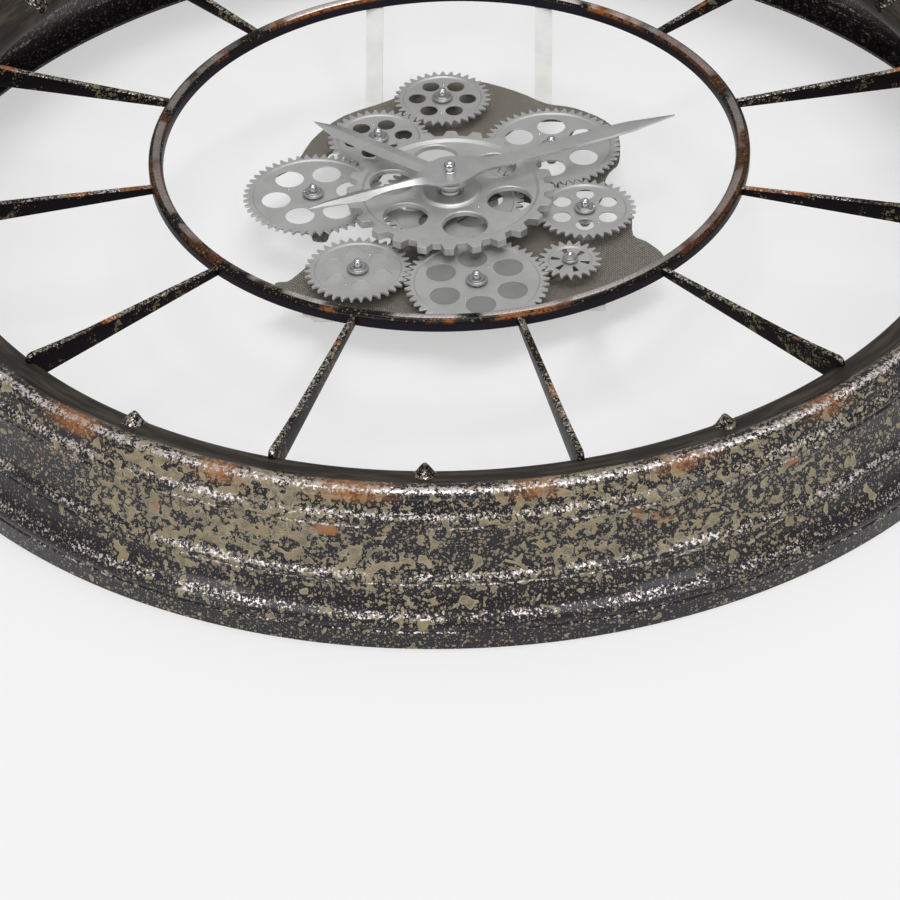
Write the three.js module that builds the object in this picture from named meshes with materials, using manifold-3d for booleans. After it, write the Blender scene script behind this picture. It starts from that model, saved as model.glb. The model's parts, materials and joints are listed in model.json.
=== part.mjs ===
import * as THREE from 'three'
import { mergeVertices } from 'three/addons/utils/BufferGeometryUtils.js'
import Module from 'manifold-3d'

// Gear wall clock. Millimetres, X right, Z up, front faces -Y.
// The wall is the plane y = 0 and "depth" is the distance in front of it.

const wasm = await Module()
wasm.setup()

const TAU = 2 * Math.PI
const DEG = Math.PI / 180

// Clearances
const WELD_GAP = 0.05
const RUN_CLEAR = 0.06
const SIDE_PLAY = 0.3
const CUT_PAST = 1

// Rim
const RIM_R = 400
const RIM_STEPS = 72
const RIM_SHEET = 2.2
const RIM_FLANGE = 14

// Hoop
const HOOP_IN = 189.5
const HOOP_WIDE = 10
const HOOP_BACK = 77.5
const HOOP_DEEP = 9.5
const HOOP_STEPS = 48

// Spokes and studs
const SPOKES = 12
const SPOKE_WIDE = 4.4
const STUDS = 12
const STUD_HIGH = 7.6
const STUD_R = 7.4
const STUD_TIP_R = 1.4
const STUD_STEPS = 10

// Depths of the gear cluster
const PLATE_BACK = 26
const PLATE_THICK = 2
const SPACER_HIGH = 8.4
const GEAR_THICK = 1.6
const BIG_GAP = 2
const BIG_THICK = 7.5
const BIG_DISH = 1.8

// Gear teeth
const MODULE = 1.9
const TIP_WIDE = 1
const ROOT_DEEP = 1.7
const MESH_EASE = 0.3
const BIG_TEETH = 24
const BIG_TIP_R = 69.6
const BIG_TOOTH_HIGH = 6.2
const BIG_RING_R = 59.8
const BIG_HUB_R = 21
const BIG_HOLES_AT = 41
const BIG_HOLE_R = 14.8
const BIG_TOOTH_DEG = 91.7
const BIG_HOLE_DEG = 106

// Posts and bolts
const POST_R = 3
const SPACER_R = 5
const WASHER_R = 7.2
const CUP_R = 5.3
const NUT_R = 3.1
const NUT_HIGH = 7.6
const BOLT_TAIL = 1.5
const BORE_STEPS = 10
const HUB_STEPS = 16

// Drive
const CASE_HALF = 31
const CASE_DEEP = 17
const CASE_WALL = 2
const COVER_THICK = 1.8
const SLEEVE_R = 9
const SLEEVE_FLANGE_R = 12
const NOSE_R = 6.4
const TUBE_R = 4.2
const ARBOR_R = 2.4
const CELL_R = 5.1
const CELL_LONG = 44
const KNOB_R = 6
const KNOB_STEM_R = 3
const KNOB_THICK = 4
const MOTOR_R = 15
const MOTOR_DEEP = 12

// Hands
const HOUR_BACK = 55
const HOUR_THICK = 2.2
const HOUR_LONG = 118
const HOUR_HALF = 8.4
const HOUR_HUB_R = 14.5
const HOUR_COLLAR_R = 8
const HOUR_DEG = 144.6
const MINUTE_BACK = 60
const MINUTE_THICK = 2.5
const MINUTE_LONG = 168
const MINUTE_TAIL = 103
const MINUTE_HALF = 8.4
const MINUTE_HUB_R = 16.5
const MINUTE_DEG = 25.6
const HAND_NUT_R = 6
const DOME_R = 4.4

// Legs and hanger
const LEG_WIDE = 12
const LEG_THICK = 2
const LEG_LAP = 12
const LEG_STEP = 3
const STRAP_HALF = 30
const STRAP_HIGH = 42
const STRAP_THICK = 2
const SCREW_HEAD_R = 5
const SCREW_SLOT_HALF = 2.5

// Derived depths
const PLATE_FRONT = PLATE_BACK + PLATE_THICK
const GEAR_BACK = PLATE_FRONT + SPACER_HIGH
const GEAR_FRONT = GEAR_BACK + GEAR_THICK
const BIG_BACK = GEAR_FRONT + BIG_GAP
const BIG_FRONT = BIG_BACK + BIG_THICK
const HOUR_FRONT = HOUR_BACK + HOUR_THICK
const MINUTE_FRONT = MINUTE_BACK + MINUTE_THICK
const CASE_FRONT = PLATE_BACK - WELD_GAP
const CASE_BACK = CASE_FRONT - CASE_DEEP
const COVER_FRONT = CASE_BACK + COVER_THICK
const KNOB_FRONT = COVER_FRONT + 2.8
const HOOP_OUT = HOOP_IN + HOOP_WIDE
const HOOP_FRONT = HOOP_BACK + HOOP_DEEP

// Each mesh becomes a closed, outward-facing triangle body.
function tidy(geometry) {
  const g = geometry.clone()
  g.deleteAttribute('normal')
  g.deleteAttribute('uv')
  const m = mergeVertices(g, 1e-4)
  const idx = m.index.array
  const pos = m.attributes.position
  const keep = []
  let volume = 0
  const a = new THREE.Vector3()
  const b = new THREE.Vector3()
  const c = new THREE.Vector3()
  for (let i = 0; i < idx.length; i += 3) {
    const [p, q, r] = [idx[i], idx[i + 1], idx[i + 2]]
    if (p !== q && q !== r && r !== p) {
      keep.push(p, q, r)
      a.fromBufferAttribute(pos, p)
      b.fromBufferAttribute(pos, q)
      c.fromBufferAttribute(pos, r)
      volume += a.dot(b.cross(c)) / 6
    }
  }
  if (volume < 0) {
    for (let i = 0; i < keep.length; i += 3) {
      const swap = keep[i + 1]
      keep[i + 1] = keep[i + 2]
      keep[i + 2] = swap
    }
  }
  m.setIndex(keep)
  return m
}

function body(geometry) {
  const g = tidy(geometry)
  return new wasm.Manifold(new wasm.Mesh({
    numProp: 3,
    vertProperties: Float32Array.from(g.attributes.position.array),
    triVerts: Uint32Array.from(g.index.array),
  }))
}

function shell(manifold) {
  const mesh = manifold.getMesh()
  const g = new THREE.BufferGeometry()
  g.setAttribute('position', new THREE.BufferAttribute(Float32Array.from(mesh.vertProperties), 3))
  g.setIndex(Array.from(mesh.triVerts))
  return g
}

// A ring turned about the clock's axis; points are [radius, depth].
function turned(points, steps, startDeg = 0) {
  const outline = [...points, points[0]].map(([r, d]) => new THREE.Vector2(r, -d))
  return new THREE.LatheGeometry(outline, steps, startDeg * DEG, TAU)
}

// A solid of revolution whose first and last points are on the axis.
function spun(points, steps) {
  return new THREE.LatheGeometry(points.map(([r, d]) => new THREE.Vector2(r, -d)), steps)
}

// A plain disc on the clock's axis.
function disc(r, back, front, steps) {
  return spun([[0, back], [r, back], [r, front], [0, front]], steps)
}

// A flat piece from a front-view outline, from one depth to another.
function sheet(outline, holes, back, front) {
  const shape = new THREE.Shape(outline.map(([x, z]) => new THREE.Vector2(x, z)))
  for (const hole of holes) {
    shape.holes.push(new THREE.Path(hole.map(([x, z]) => new THREE.Vector2(x, z))))
  }
  const g = new THREE.ExtrudeGeometry(shape, { depth: front - back, bevelEnabled: false })
  g.rotateX(Math.PI / 2)
  g.translate(0, -back, 0)
  return g
}

function circle(cx, cz, r, steps, startDeg = 90) {
  const points = []
  for (let i = 0; i < steps; i++) {
    const a = startDeg * DEG + (TAU * i) / steps
    points.push([cx + r * Math.cos(a), cz + r * Math.sin(a)])
  }
  return points
}

function arc(cx, cz, r, fromDeg, toDeg, steps) {
  const points = []
  for (let i = 0; i <= steps; i++) {
    const a = (fromDeg + ((toDeg - fromDeg) * i) / steps) * DEG
    points.push([cx + r * Math.cos(a), cz + r * Math.sin(a)])
  }
  return points
}

function box(x0, x1, d0, d1, z0, z1) {
  const g = new THREE.BoxGeometry(x1 - x0, d1 - d0, z1 - z0)
  g.translate((x0 + x1) / 2, -(d0 + d1) / 2, (z0 + z1) / 2)
  return g
}

// A side profile of [z, depth] points, drawn out along X.
function sideways(points, fromX, wide) {
  const shape = new THREE.Shape(points.map(([z, d]) => new THREE.Vector2(z, d)))
  const g = new THREE.ExtrudeGeometry(shape, { depth: wide, bevelEnabled: false })
  g.translate(0, 0, fromX)
  g.applyMatrix4(new THREE.Matrix4().set(
    0, 0, 1, 0,
    0, -1, 0, 0,
    1, 0, 0, 0,
    0, 0, 0, 1,
  ))
  return g
}

// Corner radius of a many-sided bore whose flats clear a round of radius r.
const runBore = (r, steps) => (r + RUN_CLEAR) / Math.cos(Math.PI / steps)

// Distance from the axis to the middle of a flat of a ring with this corner radius.
const flatOf = (r, steps) => r * Math.cos(Math.PI / steps)

// Finishes
const FINISH = {
  rim: { color: 0x3a373b, roughness: 0.42, metalness: 0.55 },
  dark: { color: 0x26221d, roughness: 0.38, metalness: 0.6 },
  gear: { color: 0xa8a8a6, roughness: 0.45, metalness: 0.75 },
  chrome: { color: 0xc9c9cb, roughness: 0.12, metalness: 1 },
  hand: { color: 0xb4b4b3, roughness: 0.3, metalness: 0.85 },
  plate: { color: 0x4a463d, roughness: 0.85, metalness: 0.1 },
  casing: { color: 0xe2e2df, roughness: 0.55, metalness: 0 },
  black: { color: 0x1d1d1e, roughness: 0.6, metalness: 0 },
  steel: { color: 0x8d8d8f, roughness: 0.4, metalness: 0.9 },
  cell: { color: 0x5a6068, roughness: 0.35, metalness: 0.5 },
}

const clock = new THREE.Group()
clock.name = 'gear_wall_clock'

function add(name, geometry, finish) {
  const mesh = new THREE.Mesh(tidy(geometry), new THREE.MeshStandardMaterial(FINISH[finish]))
  mesh.name = name
  clock.add(mesh)
}

// Rim profile as [inset from the outside radius, depth]: the stepped face from
// the wall to the lip, then the inside of the sheet back to the wall.
const fromRim = ([inset, depth]) => [RIM_R - inset, depth]
const RIM_FACE = [
  [0, 0], [0, 12.5], [1.4, 20.5], [8.5, 29], [12, 39], [13, 45],
  [17.8, 58], [20, 75], [20.6, 81], [26.6, 91.4], [33.5, 95.6],
  [43, 94.6], [52.6, 89.8], [58.5, 81], [56.4, 73],
].map(fromRim)
const RIM_INSIDE = [
  [54, 74.6], [48.4, 89], [33, 91.4], [23.8, 76], [17.6, 42], [3.6, 14],
  [RIM_SHEET, RIM_SHEET], [RIM_FLANGE, RIM_SHEET], [RIM_FLANGE, 0],
].map(fromRim)
const RIM_ROLL = RIM_FACE.slice(-4)
const [LIP_R, LIP_DEPTH] = RIM_ROLL[2]

function outerRim() {
  return turned([...RIM_FACE, ...RIM_INSIDE], RIM_STEPS, 180 / RIM_STEPS)
}

// Inner hoop: a flat-sided bar with a rounded front.
function innerHoop() {
  const shoulder = HOOP_FRONT - 3.6
  const chamfer = HOOP_FRONT - 1
  const middle = (HOOP_IN + HOOP_OUT) / 2
  return turned([
    [HOOP_IN, HOOP_BACK], [HOOP_OUT, HOOP_BACK], [HOOP_OUT, shoulder], [HOOP_OUT - 1.5, chamfer],
    [middle, HOOP_FRONT], [HOOP_IN + 1.5, chamfer], [HOOP_IN, shoulder],
  ], HOOP_STEPS, 180 / HOOP_STEPS)
}

// Radius of the rim's inner roll at a depth, on the line between two of its corners.
function rollAt(depth) {
  for (let i = 0; i < RIM_ROLL.length - 1; i++) {
    const [r0, d0] = RIM_ROLL[i]
    const [r1, d1] = RIM_ROLL[i + 1]
    if (depth <= d0 && depth >= d1) {
      return r0 + ((r1 - r0) * (depth - d0)) / (d1 - d0)
    }
  }
  return LIP_R
}

// Spoke: a bar that deepens towards the rim and has a rounded outer front corner.
function spoke(k) {
  const hoopEnd = flatOf(HOOP_OUT, HOOP_STEPS) + WELD_GAP
  const onRoll = depth => [flatOf(rollAt(depth), RIM_STEPS) - WELD_GAP, depth]
  const g = sideways([
    [hoopEnd, HOOP_BACK + 1.5], [hoopEnd, HOOP_FRONT - 2.8],
    [LIP_R - 19.5, LIP_DEPTH + 8.6], [LIP_R - 10.5, LIP_DEPTH + 9], [LIP_R - 4, LIP_DEPTH + 7.9],
    [LIP_R + 0.5, LIP_DEPTH + 5.6],
    onRoll(LIP_DEPTH + 3.6), onRoll(LIP_DEPTH), onRoll(LIP_DEPTH - 6),
  ], -SPOKE_WIDE / 2, SPOKE_WIDE)
  g.rotateY(((360 * (k + 0.5)) / SPOKES) * DEG)
  return g
}

// Hour stud: a blunt cone that stands on the rim's inner roll.
function stud() {
  const foot = [LIP_R + 6.1, LIP_DEPTH + 6.45]
  const tilt = -Math.atan2(4.6, 6.05)
  const cone = new THREE.LatheGeometry([
    new THREE.Vector2(0, 0),
    new THREE.Vector2(STUD_R, 0),
    new THREE.Vector2(STUD_TIP_R, STUD_HIGH - 1.1),
    new THREE.Vector2(0, STUD_HIGH),
  ], STUD_STEPS)
  cone.rotateX(-Math.PI / 2)
  cone.rotateX(tilt)
  cone.translate(0, -foot[1], foot[0])
  const skin = RIM_FACE.slice(9).map(([r, d]) => [r - WELD_GAP, d + WELD_GAP])
  const under = turned([...skin, fromRim([20, 60]), fromRim([20, 90])], RIM_STEPS, 180 / RIM_STEPS)
  return shell(body(cone).subtract(body(under)))
}

// Toothed outline: narrow flat tips with V-shaped gaps, centred on the gear.
function toothOutline(gear) {
  const pitch = (gear.teeth * MODULE) / 2
  const tip = pitch + MODULE
  const root = pitch - ROOT_DEEP * MODULE
  const half = TIP_WIDE / 2 / tip
  const points = []
  for (let i = 0; i < gear.teeth; i++) {
    const a = gear.phase * DEG + (TAU * i) / gear.teeth
    const gap = a + Math.PI / gear.teeth
    for (const [r, angle] of [[tip, a - half], [tip, a + half], [root, gap]]) {
      points.push([gear.x + r * Math.cos(angle), gear.z + r * Math.sin(angle)])
    }
  }
  return points
}

// Round holes and windows of the small gears, measured in gear modules.
const HOLES = {
  large: { at: 13.4, r: 5.13, count: 6, steps: 10 },
  small: { at: 9.3, r: 3.2, count: 6, steps: 8 },
}
const POCKET_DEEP = 0.8
const WINDOW_COUNT = 6

// Small gears. Each meshes with the one named in "mate":
// its centre is one pitch sum away from it, in the direction "toward".
const CENTRE = { name: 'centre_gear', teeth: 50, x: 0, z: 0, phase: 0, holes: 'large', holeDeg: 5 }
const GEARS = [
  { name: 'left_gear', teeth: 48, mate: CENTRE.name, toward: 175.6, holes: 'large', holeDeg: 13.5 },
  { name: 'lower_gear', teeth: 48, mate: CENTRE.name, toward: -77.3, holes: 'blind', holeDeg: 38 },
  { name: 'upper_right_gear', teeth: 48, mate: CENTRE.name, toward: 44.3, holes: 'large', holeDeg: 31 },
  { name: 'right_gear', teeth: 34, mate: 'upper_right_gear', toward: -72.5, holes: 'small', holeDeg: 30 },
  { name: 'lower_left_gear', teeth: 35, mate: 'lower_gear', toward: 170.8, holes: 'small', holeDeg: 39.5 },
  { name: 'pinion_gear', teeth: 20, mate: 'lower_gear', toward: 21.5, holes: 'windows', holeDeg: -11 },
  { name: 'upper_left_gear', teeth: 35, mate: 'left_gear', toward: 59.5, holes: 'small', holeDeg: 15 },
  { name: 'top_gear', teeth: 34, mate: 'upper_left_gear', toward: 50, holes: 'small', holeDeg: 0 },
]

// Sets each gear's centre, and the phase that puts a gap where its mate has a tooth.
function placeGears() {
  const placed = { [CENTRE.name]: CENTRE }
  for (const gear of GEARS) {
    const mate = placed[gear.mate]
    const reach = (MODULE * (gear.teeth + mate.teeth)) / 2 + MESH_EASE
    gear.x = mate.x + reach * Math.cos(gear.toward * DEG)
    gear.z = mate.z + reach * Math.sin(gear.toward * DEG)
    const lead = ((gear.toward - mate.phase) * mate.teeth) / 360
    const part = lead - Math.floor(lead)
    gear.phase = gear.toward + 180 + (180 + part * 360) / gear.teeth
    placed[gear.name] = gear
  }
  return placed
}

const TRAIN = placeGears()

function roundHoles(gear, { at, r, count, steps }) {
  const holes = []
  for (let i = 0; i < count; i++) {
    const a = (gear.holeDeg + (360 * i) / count) * DEG
    const x = gear.x + at * MODULE * Math.cos(a)
    const z = gear.z + at * MODULE * Math.sin(a)
    holes.push(circle(x, z, r * MODULE, steps))
  }
  return holes
}

// Tapered windows of the small pinion.
function pinionWindows(gear) {
  const windows = []
  for (let i = 0; i < WINDOW_COUNT; i++) {
    const mid = (360 * i) / WINDOW_COUNT + gear.holeDeg
    const inner = arc(gear.x, gear.z, 3.5 * MODULE, mid - 5, mid + 5, 1)
    const outer = arc(gear.x, gear.z, 6.8 * MODULE, mid + 8, mid - 8, 1)
    windows.push([...inner, ...outer])
  }
  return windows
}

function gearBlank(gear, bore, windows) {
  return sheet(toothOutline(gear), [bore, ...windows], GEAR_BACK, GEAR_FRONT)
}

function trainGear(gear) {
  const bore = circle(gear.x, gear.z, runBore(POST_R, BORE_STEPS), BORE_STEPS)
  if (gear.holes === 'windows') {
    return gearBlank(gear, bore, pinionWindows(gear))
  }
  if (gear.holes !== 'blind') {
    return gearBlank(gear, bore, roundHoles(gear, HOLES[gear.holes]))
  }
  let blank = body(gearBlank(gear, bore, []))
  for (const hole of roundHoles(gear, HOLES.large)) {
    const pocket = sheet(hole, [], GEAR_FRONT - POCKET_DEEP, GEAR_FRONT + CUT_PAST)
    blank = blank.subtract(body(pocket))
  }
  return shell(blank)
}

function centreGear() {
  const bore = circle(0, 0, SLEEVE_R + WELD_GAP, HUB_STEPS)
  return gearBlank(CENTRE, bore, roundHoles(CENTRE, HOLES[CENTRE.holes]))
}

// Post and domed cap of a small gear, one turned bolt screwed into the plate.
function gearBolt(gear) {
  const tail = PLATE_BACK - BOLT_TAIL
  const rest = GEAR_BACK - SIDE_PLAY
  const seat = GEAR_FRONT + SIDE_PLAY
  const top = seat + NUT_HIGH
  const g = spun([
    [0, tail], [POST_R, tail], [POST_R, PLATE_FRONT], [SPACER_R, PLATE_FRONT],
    [SPACER_R, rest], [POST_R, rest], [POST_R, seat], [WASHER_R, seat], [WASHER_R, seat + 0.9],
    [CUP_R, seat + 1.2], [CUP_R, seat + 2.4], [NUT_R, seat + 2.8], [NUT_R, top - 2], [0, top],
  ], BORE_STEPS)
  g.translate(gear.x, 0, gear.z)
  return g
}

// Big gear: wide trapezoid teeth, six large holes and a face dished between
// the tooth ring and a low hub boss.
function bigGear() {
  const root = BIG_TIP_R - BIG_TOOTH_HIGH
  const pitchDeg = 360 / BIG_TEETH
  const halfTip = pitchDeg * 0.16
  const halfRoot = pitchDeg * 0.33
  const outline = []
  for (let i = 0; i < BIG_TEETH; i++) {
    const a = BIG_TOOTH_DEG + pitchDeg * i
    const corners = [[root, -halfRoot], [BIG_TIP_R, -halfTip], [BIG_TIP_R, halfTip], [root, halfRoot]]
    for (const [r, off] of corners) {
      outline.push([r * Math.cos((a + off) * DEG), r * Math.sin((a + off) * DEG)])
    }
  }
  const holes = [circle(0, 0, SLEEVE_R + WELD_GAP, HUB_STEPS)]
  for (const [x, z] of circle(0, 0, BIG_HOLES_AT, 6, BIG_HOLE_DEG)) {
    holes.push(circle(x, z, BIG_HOLE_R, 14))
  }
  const flat = body(sheet(outline, holes, BIG_BACK, BIG_FRONT))
  const dish = turned([
    [BIG_HUB_R, BIG_FRONT - BIG_DISH], [BIG_RING_R - 1.2, BIG_FRONT - BIG_DISH],
    [BIG_RING_R + 0.6, BIG_FRONT + CUT_PAST], [BIG_HUB_R - 2.6, BIG_FRONT + CUT_PAST],
  ], 36)
  return shell(flat.subtract(body(dish)))
}

// Hollow hub that carries the centre gear and the big gear and turns on the drive's nose.
function driveSleeve() {
  const back = PLATE_FRONT + SIDE_PLAY
  const front = BIG_FRONT - 1.1
  const bore = runBore(NOSE_R, HUB_STEPS)
  return turned([
    [bore, back], [SLEEVE_FLANGE_R, back], [SLEEVE_FLANGE_R, GEAR_BACK], [SLEEVE_R, GEAR_BACK],
    [SLEEVE_R, front], [bore, front],
  ], HUB_STEPS)
}

// Gear plate: a sheet frame behind the gears with open windows.
// Its outline, windows and arms are measured in gear modules.
const inModules = ([x, z]) => [x * MODULE, z * MODULE]
const PLATE_SIDES = [
  [74.2, -24.2], [68.9, -17.4], [64.5, -13.7], [63.9, -2.1], [62.1, 2.6], [56.8, 11.1],
  [54.2, 18.4], [56.3, 26.3], [59.7, 32.6], [59.7, 48.4], [54.7, 58.9], [43.2, 67.4],
  [32.6, 70.5], [21.1, 78.9], [4.2, 86.3], [-15.8, 84.2], [-24.2, 73.7], [-42.1, 62.1],
  [-51.1, 49.5], [-54.7, 40.5], [-56.3, 34.7], [-58.9, 29.5], [-67.9, 22.1], [-71.6, 11.6],
  [-70.5, 1.1], [-66.3, -5.3], [-58.9, -10], [-49.5, -12.6], [-47.9, -16.3], [-43.2, -16.8],
  [-41.6, -10.5], [-34.7, -6.3], [-30, -1.1], [-27.4, -10.5], [-31.6, -15.3], [-41.1, -18.9],
  [-47.4, -29.5], [-53.2, -37.9], [-54.7, -41.6], [-58.9, -42.6],
]
const PLATE_OUTLINE = [
  ...arc(-2.21, 39.21, 105.3, -123.3, -41.8, 12), ...PLATE_SIDES,
].map(inModules)

// Windows through which the wall shows, placed from the centre of the gear in front.
const WINDOWS = [
  { gear: 'left_gear', dx: 0, dz: 7.2, r: 18.3 },
  { gear: 'upper_right_gear', dx: -1, dz: 7.2, r: 18.5 },
  { gear: 'right_gear', dx: 0, dz: 7.3, r: 12.8 },
  { gear: 'lower_left_gear', dx: -1.8, dz: 11.3, r: 8.2 },
  { gear: CENTRE.name, dx: 0, dz: 1.6, r: 17.9 },
]

// Arms across the windows, each from a gear's centre to a point of the frame.
const ARMS = [
  { gear: 'left_gear', to: [-27.4, 8.4], wide: 2.6 },
  { gear: 'upper_right_gear', to: [52.6, 34.7], wide: 2.6 },
  { gear: 'upper_right_gear', to: [15.8, 31.6], wide: 2.6 },
  { gear: 'right_gear', to: [61.1, -0.5], wide: 2.6 },
  { gear: 'right_gear', to: [33.7, -4.2], wide: 2.6 },
  { gear: CENTRE.name, to: [0, 23.7], wide: 4.2 },
  { gear: CENTRE.name, to: [-20, -11.6], wide: 4.2 },
  { gear: CENTRE.name, to: [20, -11.6], wide: 4.2 },
]
const PAD_EXTRA = 3.4

function acrossPlate(outline) {
  return body(sheet(outline, [], PLATE_BACK - CUT_PAST, PLATE_FRONT + CUT_PAST))
}

function onPlate(outline) {
  return body(sheet(outline, [], PLATE_BACK, PLATE_FRONT))
}

function armOutline({ gear, to, wide }) {
  const { x, z } = TRAIN[gear]
  const [endX, endZ] = inModules(to)
  const length = Math.hypot(endX - x, endZ - z)
  const nx = (-(endZ - z) / length) * ((wide * MODULE) / 2)
  const nz = ((endX - x) / length) * ((wide * MODULE) / 2)
  return [[x - nx, z - nz], [endX - nx, endZ - nz], [endX + nx, endZ + nz], [x + nx, z + nz]]
}

function gearPlate() {
  let plate = onPlate(PLATE_OUTLINE)
  for (const { gear, dx, dz, r } of WINDOWS) {
    const { x, z } = TRAIN[gear]
    plate = plate.subtract(acrossPlate(circle(x + dx * MODULE, z + dz * MODULE, r * MODULE, 16)))
  }
  for (const arm of ARMS) {
    plate = plate.add(onPlate(armOutline(arm)))
  }
  plate = plate.add(onPlate(circle(0, 0, NOSE_R + PAD_EXTRA + 1, HUB_STEPS)))
  for (const gear of GEARS) {
    plate = plate.add(onPlate(circle(gear.x, gear.z, POST_R + PAD_EXTRA, 12)))
  }
  for (const gear of GEARS) {
    plate = plate.subtract(acrossPlate(circle(gear.x, gear.z, POST_R + WELD_GAP, BORE_STEPS)))
  }
  return shell(plate.subtract(acrossPlate(circle(0, 0, NOSE_R + WELD_GAP, HUB_STEPS))))
}

// Legs: bent strips that lap the plate's back and slope out to the back of the hoop.
const LEGS = [
  { name: 'lower_left', x: -78, side: -1 },
  { name: 'lower_right', x: 98, side: -1 },
  { name: 'upper_left', x: -60, side: 1 },
  { name: 'upper_right', x: 60, side: 1 },
]

// Height at which the plate ends on one side, above or below, at a given x.
function plateEdge(x, side) {
  let edge = 0
  PLATE_OUTLINE.forEach(([x0, z0], i) => {
    const [x1, z1] = PLATE_OUTLINE[(i + 1) % PLATE_OUTLINE.length]
    if (x >= Math.min(x0, x1) && x < Math.max(x0, x1)) {
      const z = z0 + ((z1 - z0) * (x - x0)) / (x1 - x0)
      edge = Math.max(edge, side * z)
    }
  })
  return edge
}

function plateLeg({ x, side }) {
  const top = HOOP_BACK - 2 * WELD_GAP
  const seat = PLATE_BACK - 2 * WELD_GAP
  const edges = [x - LEG_WIDE / 2, x, x + LEG_WIDE / 2].map(at => plateEdge(at, side))
  const foot = Math.max(...edges) + LEG_STEP
  const lap = foot - LEG_STEP - LEG_LAP
  const hoopZ = Math.sqrt(((HOOP_IN + HOOP_OUT) / 2) ** 2 - x ** 2)
  const profile = [
    [lap, seat - LEG_THICK], [foot + 1.2, seat - LEG_THICK],
    [hoopZ - 1.8, top - LEG_THICK], [hoopZ + 3, top - LEG_THICK], [hoopZ + 3, top],
    [hoopZ - 4, top], [foot - 0.2, seat], [lap, seat],
  ]
  return sideways(profile.map(([z, d]) => [side * z, d]), x - LEG_WIDE / 2, LEG_WIDE)
}

// Drive case: a box open at the back, with a threaded nose through the plate.
function driveCase() {
  const inner = CASE_HALF - CASE_WALL
  const outside = body(box(-CASE_HALF, CASE_HALF, CASE_BACK, CASE_FRONT, -CASE_HALF, CASE_HALF))
  const hollow = body(box(-inner, inner, CASE_BACK - CUT_PAST, CASE_FRONT - CASE_WALL, -inner, inner))
  const nose = body(disc(NOSE_R, CASE_FRONT - 1, BIG_FRONT + 0.5, HUB_STEPS))
  const bore = body(disc(runBore(TUBE_R, HUB_STEPS), 0, HOUR_BACK, HUB_STEPS))
  return shell(outside.subtract(hollow).add(nose).subtract(bore))
}

function driveCover() {
  const inner = CASE_HALF - CASE_WALL - 2 * WELD_GAP
  const lid = body(box(-inner, inner, CASE_BACK, COVER_FRONT, -inner, inner))
  const knobHole = body(disc(runBore(KNOB_STEM_R, 12), 0, PLATE_BACK, 12))
  return shell(lid.subtract(knobHole))
}

// Battery: it lies along the case's lower wall, against the case's front wall.
function batteryCell() {
  const g = new THREE.CylinderGeometry(CELL_R, CELL_R, CELL_LONG, 12)
  g.rotateZ(Math.PI / 2)
  g.translate(0, -(CASE_FRONT - CASE_WALL - CELL_R - WELD_GAP),
    -(CASE_HALF - CASE_WALL - CELL_R - WELD_GAP))
  return g
}

function settingKnob() {
  const front = CASE_BACK - 0.6
  const back = front - KNOB_THICK
  return spun([
    [0, back], [KNOB_R, back], [KNOB_R, front], [KNOB_STEM_R, front],
    [KNOB_STEM_R, KNOB_FRONT], [0, KNOB_FRONT],
  ], 12)
}

// Hand outlines run along the hand, which then turns to its place on the dial.
function turnOutline(points, deg) {
  const c = Math.cos(deg * DEG)
  const s = Math.sin(deg * DEG)
  return points.map(([x, y]) => [x * c - y * s, x * s + y * c])
}

// One side of a blade as shares of its length and of its half width.
const HOUR_BLADE = [[0.49, 1], [0.745, 0.98], [0.82, 0.86]]
const MINUTE_BLADE = [[0.3, 1], [0.71, 0.96], [0.8, 0.84]]
const MINUTE_POINT = [[0.39, 0.98], [0.6, 1.04], [0.77, 0.68]]

// A pointed blade from its right side, round the tip, to its left side.
function blade(side, long, half) {
  const right = side.map(([u, v]) => [u * long, -v * half])
  const left = side.map(([u, v]) => [u * long, v * half]).reverse()
  return [...right, [long, 0], ...left]
}

function hourHand() {
  const neck = Math.asin((0.98 * HOUR_HALF) / HOUR_HUB_R) / DEG
  const hub = arc(0, 0, HOUR_HUB_R, neck, 360 - neck, 12)
  const outline = [...hub, ...blade(HOUR_BLADE, HOUR_LONG, HOUR_HALF)]
  const flat = body(sheet(turnOutline(outline, HOUR_DEG), [], HOUR_BACK, HOUR_FRONT))
  const tube = body(disc(TUBE_R, CASE_FRONT - 6, HOUR_BACK + 0.5, HUB_STEPS))
  const collar = body(disc(HOUR_COLLAR_R, HOUR_BACK - 5.5, HOUR_BACK + 0.5, HUB_STEPS))
  const bore = body(disc(runBore(ARBOR_R, 12), 0, MINUTE_FRONT, 12))
  return shell(flat.add(tube).add(collar).subtract(bore))
}

function minuteHand() {
  const neck = Math.asin((0.98 * MINUTE_HALF) / MINUTE_HUB_R) / DEG
  const upper = arc(0, 0, MINUTE_HUB_R, neck, 180 - neck, 6)
  const lower = arc(0, 0, MINUTE_HUB_R, 180 + neck, 360 - neck, 6)
  const tail = blade(MINUTE_POINT, MINUTE_TAIL, MINUTE_HALF).map(([x, y]) => [-x, -y])
  const outline = [...upper, ...tail, ...lower, ...blade(MINUTE_BLADE, MINUTE_LONG, MINUTE_HALF)]
  const flat = body(sheet(turnOutline(outline, MINUTE_DEG), [], MINUTE_BACK, MINUTE_FRONT))
  const arbor = body(disc(ARBOR_R, KNOB_FRONT + WELD_GAP, MINUTE_FRONT + 4, 12))
  const collar = body(disc(HOUR_COLLAR_R + 0.5, HOUR_FRONT + SIDE_PLAY, MINUTE_BACK + 0.5, HUB_STEPS))
  return shell(flat.add(arbor).add(collar))
}

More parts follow.
